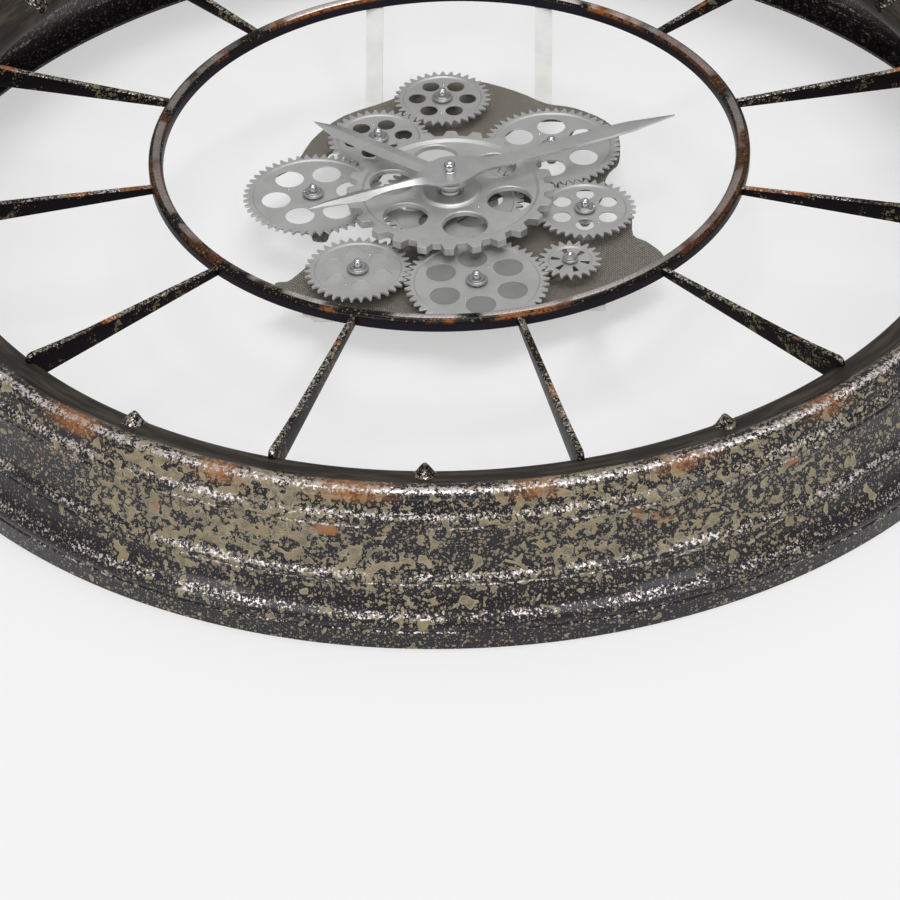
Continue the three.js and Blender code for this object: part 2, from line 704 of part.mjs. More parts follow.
// Nut with its washer on the front of the minute arbor.
function handNut() {
  const bore = ARBOR_R + WELD_GAP
  return turned([
    [bore, MINUTE_FRONT], [HAND_NUT_R, MINUTE_FRONT], [HAND_NUT_R, MINUTE_FRONT + 1.1],
    [DOME_R + 0.2, MINUTE_FRONT + 1.3], [DOME_R + 0.2, MINUTE_FRONT + 3.9], [bore, MINUTE_FRONT + 3.9],
  ], 12)
}

// Domed end cap in front of the nut.
function handDome() {
  const back = MINUTE_FRONT + 4 + WELD_GAP
  return spun([
    [0, back], [DOME_R - 1, back], [DOME_R, back + 1], [DOME_R - 0.8, back + 3.4],
    [DOME_R - 2.4, back + 5], [0, back + 5.6],
  ], 12)
}

// Small motor on the tail of the lower gear's post, behind the plate.
function gearMotor() {
  const front = PLATE_BACK - BOLT_TAIL - WELD_GAP
  const g = disc(MOTOR_R, front - MOTOR_DEEP, front, HUB_STEPS)
  g.translate(TRAIN.lower_gear.x, 0, TRAIN.lower_gear.z)
  return g
}

// Hanger: a steel strap across the rim's back flange at the top, with a keyhole.
function hangerStrap() {
  const top = RIM_R - RIM_FLANGE + 8
  const bottom = top - STRAP_HIGH
  const back = RIM_SHEET + 2 * WELD_GAP
  const headZ = bottom + 14
  const slotTop = headZ + 2 * SCREW_HEAD_R
  const outline = [[-STRAP_HALF, bottom], [STRAP_HALF, bottom], [STRAP_HALF, top], [-STRAP_HALF, top]]
  const keyhole = [
    ...arc(0, headZ, SCREW_HEAD_R, 120, 420, 10),
    [SCREW_SLOT_HALF, slotTop], [-SCREW_SLOT_HALF, slotTop],
  ]
  return sheet(outline, [keyhole], back, back + STRAP_THICK)
}

// Assembly
add('outer_rim', outerRim(), 'rim')
add('inner_hoop', innerHoop(), 'dark')
for (let k = 0; k < SPOKES; k++) {
  add(`spoke_${String(k + 1).padStart(2, '0')}`, spoke(k), 'dark')
}
const oneStud = stud()
for (let k = 0; k < STUDS; k++) {
  const g = oneStud.clone()
  g.rotateY(((360 * k) / STUDS) * DEG)
  add(`hour_stud_${String(k === 0 ? STUDS : k).padStart(2, '0')}`, g, 'rim')
}
add('gear_plate', gearPlate(), 'plate')
for (const leg of LEGS) {
  add(`plate_leg_${leg.name}`, plateLeg(leg), 'plate')
}
add(CENTRE.name, centreGear(), 'gear')
for (const gear of GEARS) {
  add(gear.name, trainGear(gear), 'gear')
  add(`${gear.name}_bolt`, gearBolt(gear), 'chrome')
}
add('big_gear', bigGear(), 'gear')
add('drive_sleeve', driveSleeve(), 'steel')
add('drive_case', driveCase(), 'casing')
add('drive_cover', driveCover(), 'black')
add('battery_cell', batteryCell(), 'cell')
add('setting_knob', settingKnob(), 'black')
add('hour_hand', hourHand(), 'hand')
add('minute_hand', minuteHand(), 'hand')
add('hand_nut', handNut(), 'chrome')
add('hand_dome', handDome(), 'chrome')
add('gear_motor', gearMotor(), 'black')
add('hanger_strap', hangerStrap(), 'steel')

export default clock
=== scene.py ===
"""Looks of the gear wall clock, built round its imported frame.

Sizes are in millimetres on the clock: x to the right, z up, and depth out from
the wall. Meshes are in metres, with depth along -Y, as in the frame.
"""

import json
import logging
import math
from dataclasses import dataclass
from enum import Enum
from typing import Any, Iterable, Sequence

import bmesh
import bpy
from mathutils import Matrix, Vector


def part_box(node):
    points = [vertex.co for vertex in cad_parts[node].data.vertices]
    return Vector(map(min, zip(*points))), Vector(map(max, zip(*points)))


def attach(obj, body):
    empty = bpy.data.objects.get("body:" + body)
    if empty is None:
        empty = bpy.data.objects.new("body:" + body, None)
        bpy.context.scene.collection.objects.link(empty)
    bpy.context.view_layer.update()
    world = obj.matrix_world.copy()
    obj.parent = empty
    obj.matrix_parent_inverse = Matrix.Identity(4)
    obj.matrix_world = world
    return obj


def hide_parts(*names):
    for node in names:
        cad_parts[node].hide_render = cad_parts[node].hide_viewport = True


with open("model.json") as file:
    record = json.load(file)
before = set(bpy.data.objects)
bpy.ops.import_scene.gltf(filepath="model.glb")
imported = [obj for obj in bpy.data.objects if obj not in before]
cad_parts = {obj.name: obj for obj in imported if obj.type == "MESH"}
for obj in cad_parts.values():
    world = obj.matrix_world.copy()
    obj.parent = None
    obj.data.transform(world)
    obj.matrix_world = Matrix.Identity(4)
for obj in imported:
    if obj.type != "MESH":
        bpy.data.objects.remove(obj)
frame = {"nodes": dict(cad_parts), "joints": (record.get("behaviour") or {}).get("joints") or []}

MM = 0.001
TURN = 2 * math.pi
RIM_RADIUS = 0.37  # metres: turns a share of the circle into a length along the rim
HOLES = 6  # every gear's web is pierced six times

Point = tuple[float, float]
Colour = tuple[float, float, float]

log = logging.getLogger("gear_clock")


class Body(Enum):
    """Bodies of the frame, apart from those of the small gears, which have the gears' names."""

    FRAME = "frame"
    CENTRE = "centre_drive"
    HOUR = "hour_hand"
    MINUTE = "minute_hand"


class Slot(Enum):
    """Material slots of the record."""

    RIM = "rim_paint"
    DARK = "dark_paint"
    PLATE = "plate_texture"
    GEAR = "gear_metal"
    CHROME = "chrome"
    STEEL = "steel"
    WHITE = "white_plastic"
    BLACK = "black_plastic"
    CELL = "cell_jacket"
    HAND = "hand_metal"


class Openings(Enum):
    """How a small gear's web is pierced."""

    LARGE = "large"
    SMALL = "small"
    LARGE_POCKETS = "large pockets"
    SMALL_POCKETS = "small pockets"
    WINDOWS = "windows"


def place(x: float, z: float, depth: float) -> Vector:
    """Returns the scene point of a place on the clock given in millimetres."""
    return Vector((x * MM, -depth * MM, z * MM))


def polar(radius: float, degrees: float, centre: Point = (0, 0)) -> Point:
    """Returns the point at a radius and an angle, counted from three o'clock upwards."""
    angle = math.radians(degrees)
    return centre[0] + radius * math.cos(angle), centre[1] + radius * math.sin(angle)


def circle(radius: float, steps: int, centre: Point = (0, 0)) -> list[Point]:
    """Returns the points of a circle, anticlockwise."""
    return [polar(radius, 360 * i / steps, centre) for i in range(steps)]


def arc(radius: float, start: float, end: float, steps: int, centre: Point = (0, 0)) -> list[Point]:
    """Returns the points of an arc from one angle to another, ends included."""
    return [polar(radius, start + (end - start) * i / steps, centre) for i in range(steps + 1)]


def curve_through(points: Sequence[Point], per_span: int) -> list[Point]:
    """Draws a smooth line through points.

    Args:
        points: The points that the line passes through.
        per_span: How many steps lie between two of them.

    Returns:
        The line's points, first and last ones included.
    """
    ends = [points[0], *points, points[-1]]
    line: list[Point] = []
    for a, b, c, d in zip(ends, ends[1:], ends[2:], ends[3:]):
        for i in range(per_span):
            t = i / per_span
            line.append(tuple(
                0.5 * (2 * q + (r - p) * t + (2 * p - 5 * q + 4 * r - s) * t * t
                       + (3 * q - p - 3 * r + s) * t ** 3)
                for p, q, r, s in zip(a, b, c, d)
            ))
    line.append(points[-1])
    return line


class Former:
    """Forms one closed mesh from rings and profiles, in the clock's millimetres."""

    def __init__(self) -> None:
        """Starts an empty mesh."""
        self.bm = bmesh.new()

    def ring(self, points: Iterable[Point], depth: float) -> list[Any]:
        """Lays a closed ring of edges.

        Args:
            points: The ring's corners in the front view.
            depth: How far in front of the wall it lies.

        Returns:
            The ring's edges.
        """
        corners = [self.bm.verts.new(place(x, z, depth)) for x, z in points]
        following = corners[1:] + corners[:1]
        return [self.bm.edges.new(pair) for pair in zip(corners, following)]

    def draw_out(self, edges: list[Any], depth: float, grow: float = 0,
                 centre: Point = (0, 0)) -> list[Any]:
        """Draws a ring out into a wall.

        Args:
            edges: The ring to start from.
            depth: Where the wall ends.
            grow: How much further from the centre the far ring is.
            centre: The middle from which it grows.

        Returns:
            The edges of the far ring.
        """
        made = bmesh.ops.extrude_edge_only(self.bm, edges=edges)["geom"]
        corners = {g for g in made if isinstance(g, bmesh.types.BMVert)}
        middle = place(centre[0], centre[1], depth)
        for corner in corners:
            corner.co.y = middle.y
            away = corner.co - middle
            if grow and away.length:
                corner.co += away.normalized() * grow * MM
        return [g for g in made if isinstance(g, bmesh.types.BMEdge)
                and all(v in corners for v in g.verts)]

    def cap(self, *rings: list[Any]) -> None:
        """Fills the flat area between rings."""
        edges = [edge for ring in rings for edge in ring]
        bmesh.ops.triangle_fill(self.bm, use_beauty=True, use_dissolve=False, edges=edges)

    def spin(self, profile: Sequence[Point], steps: int, closed: bool = False,
             centre: Point = (0, 0)) -> None:
        """Turns a profile all the way round an axis parallel to the clock's.

        Args:
            profile: Points of radius and depth.
            steps: How many flats the turn has.
            closed: Whether the profile runs back to its first point.
            centre: Where the axis passes in the front view.
        """
        corners = [self.bm.verts.new((r * MM, -d * MM, 0)) for r, d in profile]
        pairs = list(zip(corners, corners[1:]))
        if closed:
            pairs.append((corners[-1], corners[0]))
        edges = [self.bm.edges.new(pair) for pair in pairs]
        before = set(self.bm.verts) - set(corners)
        bmesh.ops.spin(self.bm, geom=corners + edges, cent=(0, 0, 0), axis=(0, 1, 0),
                       dvec=(0, 0, 0), angle=TURN, steps=steps, use_merge=True,
                       use_normal_flip=False, use_duplicate=False)
        turned = [v for v in self.bm.verts if v not in before]
        bmesh.ops.translate(self.bm, verts=turned, vec=place(centre[0], centre[1], 0))

    def rotate(self, degrees: float) -> None:
        """Turns everything formed so far clockwise about the clock's axis."""
        matrix = Matrix.Rotation(math.radians(degrees), 3, "Y")
        bmesh.ops.rotate(self.bm, verts=self.bm.verts, cent=(0, 0, 0), matrix=matrix)

    def piece(self, name: str, sharp: float = 32, solid: bool = True) -> bpy.types.Object:
        """Closes the mesh and makes an object of it.

        Args:
            name: The object's name.
            sharp: Edges that turn by more than this many degrees stay crisp.
            solid: Whether it has an inside, so that its faces are turned outwards.

        Returns:
            The new object, linked to the scene.
        """
        if solid:
            bmesh.ops.remove_doubles(self.bm, verts=self.bm.verts, dist=2e-6)
            bmesh.ops.dissolve_degenerate(self.bm, dist=1e-7, edges=self.bm.edges)
            bmesh.ops.recalc_face_normals(self.bm, faces=self.bm.faces)
        for face in self.bm.faces:
            face.smooth = True
        for edge in self.bm.edges:
            edge.smooth = edge.is_manifold and edge.calc_face_angle(0) < math.radians(sharp)
        mesh = bpy.data.meshes.new(name)
        self.bm.to_mesh(mesh)
        self.bm.free()
        made = bpy.data.objects.new(name, mesh)
        bpy.context.scene.collection.objects.link(made)
        return made


def soften(piece: bpy.types.Object, width: float, segments: int = 2, angle: float = 35) -> None:
    """Rounds a piece's crisp edges with a live bevel.

    Args:
        piece: The piece.
        width: The bevel's width in millimetres.
        segments: How many flats round an edge off.
        angle: Edges that turn by more than this many degrees are rounded.
    """
    bevel = piece.modifiers.new("rounded_edges", "BEVEL")
    bevel.width = width * MM
    bevel.segments = segments
    bevel.limit_method = "ANGLE"
    bevel.angle_limit = math.radians(angle)
    bevel.harden_normals = True


def dress(piece: bpy.types.Object, material: bpy.types.Material) -> None:
    """Gives a piece one material in place of any it has."""
    piece.data.materials.clear()
    piece.data.materials.append(material)


def fit(piece: bpy.types.Object, material: bpy.types.Material, slot: Slot, body: str,
        *nodes: str) -> None:
    """Finishes a piece and sets it in the frame.

    Args:
        piece: The piece.
        material: Its finish.
        slot: The record's slot for that finish; not used.
        body: The body that it rides on.
        nodes: The frame's nodes that it stands for.
    """
    dress(piece, material)
    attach(piece, body)
    if nodes:
        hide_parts(*nodes)
    log.info("%s: %d faces, on %s", piece.name, len(piece.data.polygons), body)


class Bench:
    """Lays out and joins the nodes of one material or node group."""

    def __init__(self, tree: bpy.types.NodeTree) -> None:
        """Starts on a node tree."""
        self.tree = tree

    def node(self, kind: str, settings: dict[str, Any] | None = None,
             **inputs: Any) -> bpy.types.Node:
        """Adds a node.

        Args:
            kind: The node's type without the ShaderNode prefix.
            settings: Its own settings.
            inputs: Values or sockets for its inputs, with spaces as underscores,
                or in_0, in_1 and so on for inputs by number.

        Returns:
            The node.
        """
        made = self.tree.nodes.new("ShaderNode" + kind)
        for key, value in (settings or {}).items():
            setattr(made, key, value)
        for key, value in inputs.items():
            number = key[3:] if key.startswith("in_") else ""
            which = int(number) if number.isdigit() else key.replace("_", " ")
            socket = made.inputs[which]
            if isinstance(value, bpy.types.NodeSocket):
                self.tree.links.new(value, socket)
            else:
                socket.default_value = value
        return made

    def math(self, operation: str, a: Any, b: Any = 0.0, c: Any = 0.0) -> bpy.types.NodeSocket:
        """Returns the result of a sum on one to three values."""
        return self.node("Math", {"operation": operation}, in_0=a, in_1=b, in_2=c).outputs[0]

    def remap(self, value: Any, low: Any, high: Any, to_low: Any = 0.0,
              to_high: Any = 1.0) -> bpy.types.NodeSocket:
        """Maps a value smoothly from one range to another.

        Args:
            value: The value.
            low: Where its range begins.
            high: Where its range ends.
            to_low: What the beginning becomes.
            to_high: What the end becomes.

        Returns:
            The mapped value, which stays within the second range.
        """
        made = self.node("MapRange", {"interpolation_type": "SMOOTHSTEP"}, Value=value)
        for name, given in (("From Min", low), ("From Max", high), ("To Min", to_low),
                            ("To Max", to_high)):
            if isinstance(given, bpy.types.NodeSocket):
                self.tree.links.new(given, made.inputs[name])
            else:
                made.inputs[name].default_value = given
        return made.outputs[0]

    def mix(self, share: Any, a: Any, b: Any) -> bpy.types.NodeSocket:
        """Mixes two colours.

        Args:
            share: How much of the second colour there is, from 0 to 1.
            a: The first colour.
            b: The second colour.

        Returns:
            The mixed colour.
        """
        made = self.node("Mix", {"data_type": "RGBA", "clamp_factor": True})
        for socket, given in ((made.inputs[0], share), (made.inputs[6], a), (made.inputs[7], b)):
            if isinstance(given, bpy.types.NodeSocket):
                self.tree.links.new(given, socket)
            elif isinstance(given, tuple):
                socket.default_value = (*given, 1)
            else:
                socket.default_value = given
        return made.outputs[2]

    def noise(self, vector: Any, scale: float, detail: float = 2.0,
              rough: float = 0.5) -> bpy.types.NodeSocket:
        """Returns the grey value of a noise with this many lumps per metre."""
        return self.node("TexNoise", Vector=vector, Scale=scale, Detail=detail,
                         Roughness=rough).outputs[0]

    def group(self, tree: bpy.types.NodeTree, **inputs: Any) -> bpy.types.Node:
        """Places a node group.

        Args:
            tree: The group.
            inputs: Values or sockets for its inputs.

        Returns:
            The placed group's node.
        """
        made = self.tree.nodes.new("ShaderNodeGroup")
        made.node_tree = tree
        for key, value in inputs.items():
            if isinstance(value, bpy.types.NodeSocket):
                self.tree.links.new(value, made.inputs[key])
            else:
                made.inputs[key].default_value = value
        return made

    def window(self, value: Any, low: float, high: float, soft: float) -> bpy.types.NodeSocket:
        """Makes a mask that is full between two values.

        Args:
            value: The value that is looked at.
            low: Where the mask becomes full.
            high: Where it begins to fade.
            soft: The width over which it comes and goes.

        Returns:
            The mask.
        """
        rise = self.remap(value, low - soft, low)
        fall = self.remap(value, high, high + soft, 1.0, 0.0)
        return self.math("MULTIPLY", rise, fall)

    def object_place(self) -> bpy.types.NodeSocket:
        """Returns the object coordinates."""
        return self.node("TexCoord").outputs["Object"]

    def aside(self, where: Any) -> bpy.types.NodeSocket:
        """Returns how far to either side of the clock's middle a place lies, in metres."""
        return self.math("ABSOLUTE", self.node("SeparateXYZ", Vector=where).outputs[0])

    def give(self, shader: bpy.types.Node, **sockets: Any) -> None:
        """Joins sockets to a shader's inputs, named with underscores for spaces."""
        for key, socket in sockets.items():
            self.tree.links.new(socket, shader.inputs[key.replace("_", " ")])


def new_group(name: str, inputs: dict[str, tuple[str, Any]],
              outputs: dict[str, str]) -> tuple[Bench, bpy.types.Node, bpy.types.Node]:
    """Starts a shader node group.

    Args:
        name: The group's name.
        inputs: For each input, its socket type and its first value.
        outputs: For each output, its socket type.

    Returns:
        The bench for the group's nodes, its input node and its output node.
    """
    tree = bpy.data.node_groups.new(name, "ShaderNodeTree")
    for key, (kind, value) in inputs.items():
        socket = tree.interface.new_socket(name=key, in_out="INPUT",
                                           socket_type="NodeSocket" + kind)
        if value is not None:
            socket.default_value = value
    for key, kind in outputs.items():
        tree.interface.new_socket(name=key, in_out="OUTPUT", socket_type="NodeSocket" + kind)
    bench = Bench(tree)
    return bench, tree.nodes.new("NodeGroupInput"), tree.nodes.new("NodeGroupOutput")


def blotch_group() -> bpy.types.NodeTree:
    """Makes the effect of irregular paint blotches that run into each other.

    Returns:
        A group that puts out where blotches are, their thin rims and their height.
    """
    bench, given, out = new_group(
        "Blotches",
        {"Vector": ("Vector", None), "Scale": ("Float", 110.0), "Level": ("Float", 0.56)},
        {"Mask": "Float", "Edge": "Float", "Height": "Float"},
    )
    lumps = bench.node("TexNoise", Vector=given.outputs["Vector"], Scale=given.outputs["Scale"],
                       Detail=1.1, Roughness=0.45, Distortion=0.35)
    over = bench.math("SUBTRACT", lumps.outputs[0], given.outputs["Level"])
    mask = bench.remap(over, 0.0, 0.010)
    inner = bench.remap(over, 0.022, 0.046)
    edge = bench.math("MULTIPLY", mask, bench.math("SUBTRACT", 1.0, inner))
    height = bench.remap(over, -0.008, 0.085)
    for key, socket in (("Mask", mask), ("Edge", edge), ("Height", height)):
        bench.tree.links.new(socket, out.inputs[key])
    return bench.tree


def spatter_group() -> bpy.types.NodeTree:
    """Makes the effect of round paint droplets of one size.

    Returns:
        A group that puts out where droplets are, their edges and their height.
    """
    bench, given, out = new_group(
        "Spatter",
        {"Vector": ("Vector", None), "Scale": ("Float", 520.0), "Size": ("Float", 0.5)},
        {"Mask": "Float", "Edge": "Float", "Height": "Float"},
    )
    cells = bench.node("TexVoronoi", Vector=given.outputs["Vector"], Scale=given.outputs["Scale"],
                       Randomness=1.0)
    chance = bench.node("SeparateColor", Color=cells.outputs["Color"])
    reach = bench.math("MULTIPLY", chance.outputs[0], given.outputs["Size"])
    depth = bench.math("SUBTRACT", reach, cells.outputs["Distance"])
    mask = bench.remap(depth, 0.0, 0.05)
    inner = bench.remap(depth, 0.05, 0.16)
    edge = bench.math("MULTIPLY", mask, bench.math("SUBTRACT", 1.0, inner))
    height = bench.remap(depth, 0.0, 0.14)
    for key, socket in (("Mask", mask), ("Edge", edge), ("Height", height)):
        bench.tree.links.new(socket, out.inputs[key])
    return bench.tree


def round_clock_group() -> bpy.types.NodeTree:
    """Makes the places that paint follows round the clock.

    Returns:
        A group that puts out the radius, the depth, the share of a turn counted from
        nine o'clock through six, and a vector that runs along the circle.
    """
    bench, given, out = new_group(
        "RoundClock", {"Vector": ("Vector", None)},
        {"Radius": "Float", "Depth": "Float", "Share": "Float", "Along": "Vector"},
    )
    apart = bench.node("SeparateXYZ", Vector=given.outputs["Vector"])
    flat = bench.node("CombineXYZ", X=apart.outputs[0], Z=apart.outputs[2])
    length = bench.node("VectorMath", {"operation": "LENGTH"}, in_0=flat.outputs[0])
    radius = length.outputs["Value"]
    depth = bench.math("MULTIPLY", apart.outputs[1], -1.0)
    angle = bench.math("ARCTAN2", apart.outputs[2], apart.outputs[0])
    share = bench.math("FRACT", bench.math("ADD", bench.math("DIVIDE", angle, TURN), 1.5))
    along = bench.node("CombineXYZ", X=bench.math("MULTIPLY", share, TURN * RIM_RADIUS),
                       Y=bench.math("ADD", radius, depth))
    for key, socket in (("Radius", radius), ("Depth", depth), ("Share", share),
                        ("Along", along.outputs[0])):
        bench.tree.links.new(socket, out.inputs[key])
    return bench.tree


def grain_group() -> bpy.types.NodeTree:
    """Makes the effect of fine metal grain.

    Returns:
        A group that puts out a soft shade and a fine height.
    """
    bench, given, out = new_group(
        "Grain", {"Vector": ("Vector", None), "Scale": ("Float", 2500.0)},
        {"Shade": "Float", "Height": "Float"},
    )
    fine = bench.node("TexNoise", Vector=given.outputs["Vector"], Scale=given.outputs["Scale"],
                      Detail=3.0, Roughness=0.6)
    cloudy = bench.noise(given.outputs["Vector"], 60.0, 3.0)
    bench.tree.links.new(cloudy, out.inputs["Shade"])
    bench.tree.links.new(fine.outputs[0], out.inputs["Height"])
    return bench.tree


def weave_group() -> bpy.types.NodeTree:
    """Makes the effect of a pressed linen weave.

    Returns:
        A group that puts out the threads' height and an uneven shade.
    """
    bench, given, out = new_group(
        "Weave", {"Vector": ("Vector", None), "Pitch": ("Float", 0.0011)},
        {"Height": "Float", "Shade": "Float"},
    )
    wander = bench.noise(given.outputs["Vector"], 130.0, 2.0)
    apart = bench.node("SeparateXYZ", Vector=given.outputs["Vector"])
    turns = []
    for axis in (0, 2):
        count = bench.math("DIVIDE", apart.outputs[axis], given.outputs["Pitch"])
        uneven = bench.math("ADD", count, bench.math("MULTIPLY", wander, 1.6))
        turns.append(bench.math("MULTIPLY", uneven, TURN / 2))
    warp = bench.math("ABSOLUTE", bench.math("SINE", turns[0]))
    weft = bench.math("ABSOLUTE", bench.math("SINE", turns[1]))
    over = bench.math("MULTIPLY", bench.math("SINE", turns[0]), bench.math("SINE", turns[1]))
    height = bench.math("ADD", bench.math("MULTIPLY", bench.math("ADD", warp, weft), 0.35),
                        bench.math("MULTIPLY", over, 0.3))
    slub = bench.noise(given.outputs["Vector"], 700.0, 4.0, 0.7)
    bench.tree.links.new(height, out.inputs["Height"])
    bench.tree.links.new(slub, out.inputs["Shade"])
    return bench.tree


class Effects:
    """The node groups that the finishes share, each made once."""

    def __init__(self) -> None:
        """Makes every group."""
        self.blotches = blotch_group()
        self.spatter = spatter_group()
        self.round_clock = round_clock_group()
        self.grain = grain_group()
        self.weave = weave_group()


def new_material(name: str) -> tuple[bpy.types.Material, Bench, bpy.types.Node]:
    """Starts a material.

    Args:
        name: The material's name.

    Returns:
        The material, the bench for its nodes and its shader node.
    """
    material = bpy.data.materials.new(name)
    material.use_nodes = True
    bench = Bench(material.node_tree)
    return material, bench, material.node_tree.nodes["Principled BSDF"]


def bumped(bench: Bench, shader: bpy.types.Node, height: Any, distance: float,
           strength: float = 1.0) -> None:
    """Joins a height to a shader's normal, with its depth in millimetres."""
    bump = bench.node("Bump", Height=height, Distance=distance * MM, Strength=strength)
    bench.tree.links.new(bump.outputs[0], shader.inputs["Normal"])


@dataclass(frozen=True)
class Layers:
    """Masks of all the droplets and blotches of one paint."""

    mask: Any
    edge: Any
    height: Any


def paint_layers(bench: Bench, effects: Effects, where: Any, plenty: Any,
                 blotch_level: float) -> Layers:
    """Lays blotches of two sizes and droplets of two sizes over each other.

    Args:
        bench: The bench of the material.
        effects: The shared groups.
        where: The object coordinates.
        plenty: A share from 0 for no droplets to 1 for all of them.
        blotch_level: The noise level above which blotches stand.

    Returns:
        The joined masks.
    """
    drop = bench.math("MULTIPLY", bench.math("SUBTRACT", 1.0, plenty), 0.5)
    parts = []
    for scale, extra, tall in ((122.0, 0.0, 1.0), (270.0, 0.014, 0.6)):
        level = bench.math("ADD", drop, blotch_level + extra)
        parts.append((bench.group(effects.blotches, Vector=where, Scale=scale, Level=level), tall))
    for scale, size, tall in ((400.0, 0.56, 0.45), (820.0, 0.52, 0.3)):
        reach = bench.math("MULTIPLY", plenty, size)
        parts.append((bench.group(effects.spatter, Vector=where, Scale=scale, Size=reach), tall))
    mask: Any = 0.0
    edge: Any = 0.0
    height: Any = 0.0
    for part, tall in parts:
        mask = bench.math("MAXIMUM", mask, part.outputs["Mask"])
        edge = bench.math("MAXIMUM", edge, part.outputs["Edge"])
        height = bench.math("MAXIMUM", height, bench.math("MULTIPLY", part.outputs["Height"], tall))
    return Layers(mask, edge, height)


@dataclass(frozen=True)
class SpatteredPaint:
    """Dark glossy paint of the rim with olive blotches, copper patches and a painted highlight:
    bright metallic specks along the crest and the beads.

    A patch has its middle and its half width in degrees round the clock. A band of painted
    highlight along a bead has its middle and its half width in millimetres from the wall, and
    its strength.
    Other pairs are the ends of a range, in metres or in the grey of a noise.
    """

    name: str = "rim_spatter"
    base: Colour = (0.010, 0.008, 0.013)
    lip: Colour = (0.022, 0.018, 0.015)
    lip_light: Colour = (0.062, 0.052, 0.036)
    blotch: Colour = (0.172, 0.147, 0.098)
    blotch_light: Colour = (0.285, 0.222, 0.122)
    outline: Colour = (0.40, 0.35, 0.25)
    copper: Colour = (0.36, 0.135, 0.034)
    # Colour of the painted highlight: bright metallic specks where highlights fall.
    painted_glint: Colour = (0.84, 0.76, 0.75)
    patches: Sequence[tuple[float, float]] = (
        (20, 3.5), (81, 4.0), (149, 3.8), (235.8, 4.0), (251.4, 3.2), (263.6, 4.6), (279.8, 3.0),
        (293.5, 4.2), (309, 3.2), (338, 3.4))
    # Painted highlight bands along the beads: middle and half width in mm, and a strength.
    highlight_bands: Sequence[tuple[float, float, float]] = (
        (12.5, 0.9, 0.7), (22.0, 3.8, 0.75), (38.9, 0.9, 0.8), (44.6, 3.0, 0.85), (74.9, 0.9, 0.9),
        (82.2, 3.4, 0.8))
    lip_end: tuple[float, float] = (0.3580, 0.3640)
    lip_ragged: float = 0.012
    blotch_level: float = 0.570
    copper_radii: tuple[float, float] = (0.3650, 0.3732)
    copper_below: tuple[float, float] = (0.0640, 0.0725)
    # Radius and depth window of the painted highlight on the crest.
    crest_radii: tuple[float, float] = (0.3682, 0.3708)
    crest_depths: tuple[float, float] = (0.0885, 0.10)
    outside: tuple[float, float] = (0.3722, 0.3732)
    lip_rough: float = 0.40
    paint_rough: float = 0.24

    def bead_highlight_ramp(self, bench: Bench, depth: Any) -> bpy.types.NodeSocket:
        """Returns where the painted highlight is laid along the beads.

        Args:
            bench: The bench of the material.
            depth: The depth from the wall, in metres.

        Returns:
            A mask with a soft rise and fall at each bead.
        """
        ramp = bench.node("ValToRGB", Fac=bench.math("MULTIPLY", depth, 10.0))
        stops = ramp.color_ramp.elements
        stops[0].position, stops[1].position = 0.0, 1.0
        stops[0].color = stops[1].color = (0, 0, 0, 1)
        for middle, half, strength in self.highlight_bands:
            for shift, level in ((-half, 0.0), (-half * 0.35, strength), (half * 0.35, strength),
                                 (half, 0.0)):
                stop = stops.new((middle + shift) / 100)
                stop.color = (level, level, level, 1)
        return ramp.outputs[0]

    def patch_ramp(self, bench: Bench, share: Any) -> bpy.types.NodeSocket:
        """Returns where round the clock the copper patches lie.

        Args:
            bench: The bench of the material.
            share: The share of a turn counted from nine o'clock.

        Returns:
            A mask with a soft rise and fall at each patch.
        """
        ramp = bench.node("ValToRGB", Fac=share)
        stops = ramp.color_ramp.elements
        stops[0].position, stops[1].position = 0.0, 1.0
        stops[0].color = stops[1].color = (0, 0, 0, 1)
        for middle, half in self.patches:
            at = ((middle + 180) % 360) / 360
            for shift, level in ((-half, 0.0), (half * 0.1, 1.0), (half, 0.0)):
                stop = stops.new(at + shift / 360)
                stop.color = (level, level, level, 1)
        return ramp.outputs[0]

    def plenty(self, bench: Bench, where: Any, depth: Any, clear: Any) -> bpy.types.NodeSocket:
        """Returns how much of the spatter landed.

        Args:
            bench: The bench of the material.
            where: The object coordinates.
            depth: The depth from the wall.
            clear: A mask that is 0 on the lip.

        Returns:
            A share that falls towards the lip, the wall and the clock's sides; the fall towards the
            sides also stands for painted shade on the rim's sides.
        """
        patchy = bench.remap(bench.noise(where, 9.0, 2.0), 0.36, 0.62, 0.86, 1.0)
        # Fewer droplets towards the clock's sides: thinner spatter, and painted shade darkening the
        # rim's sides.
        middle = bench.remap(bench.aside(where), 0.06, 0.36, 1.055, 0.88)
        raised = bench.remap(depth, 0.008, 0.055, 0.80, 1.0)
        share = bench.math("MULTIPLY", raised, bench.math("MULTIPLY", patchy, middle))
        return bench.math("MULTIPLY", clear, share)

    def copper_mask(self, bench: Bench, where: Any, ways: bpy.types.Node,
                    drift: Any) -> bpy.types.NodeSocket:
        """Returns where copper was brushed on.

        Args:
            bench: The bench of the material.
            where: The object coordinates.
            ways: The placed group of places round the clock.
            drift: Soft clouds drawn out along the rim.

        Returns:
            A ragged mask of the patches on the crest and a few below it.
        """
        ragged = bench.math("MULTIPLY", bench.noise(where, 330.0, 3.0, 0.7), 0.5)
        level = bench.math("ADD", ragged, bench.math("MULTIPLY", drift, 0.5))
        crest = bench.window(ways.outputs["Radius"], *self.copper_radii, 0.0025)
        patches = bench.math("MULTIPLY", self.patch_ramp(bench, ways.outputs["Share"]), crest)
        below = bench.window(ways.outputs["Depth"], *self.copper_below, 0.0040)
        few = bench.math("MULTIPLY", bench.remap(drift, 0.60, 0.66), below)
        both = bench.math("MAXIMUM", patches, few)
        return bench.math("MULTIPLY", both, bench.remap(level, 0.38, 0.56))

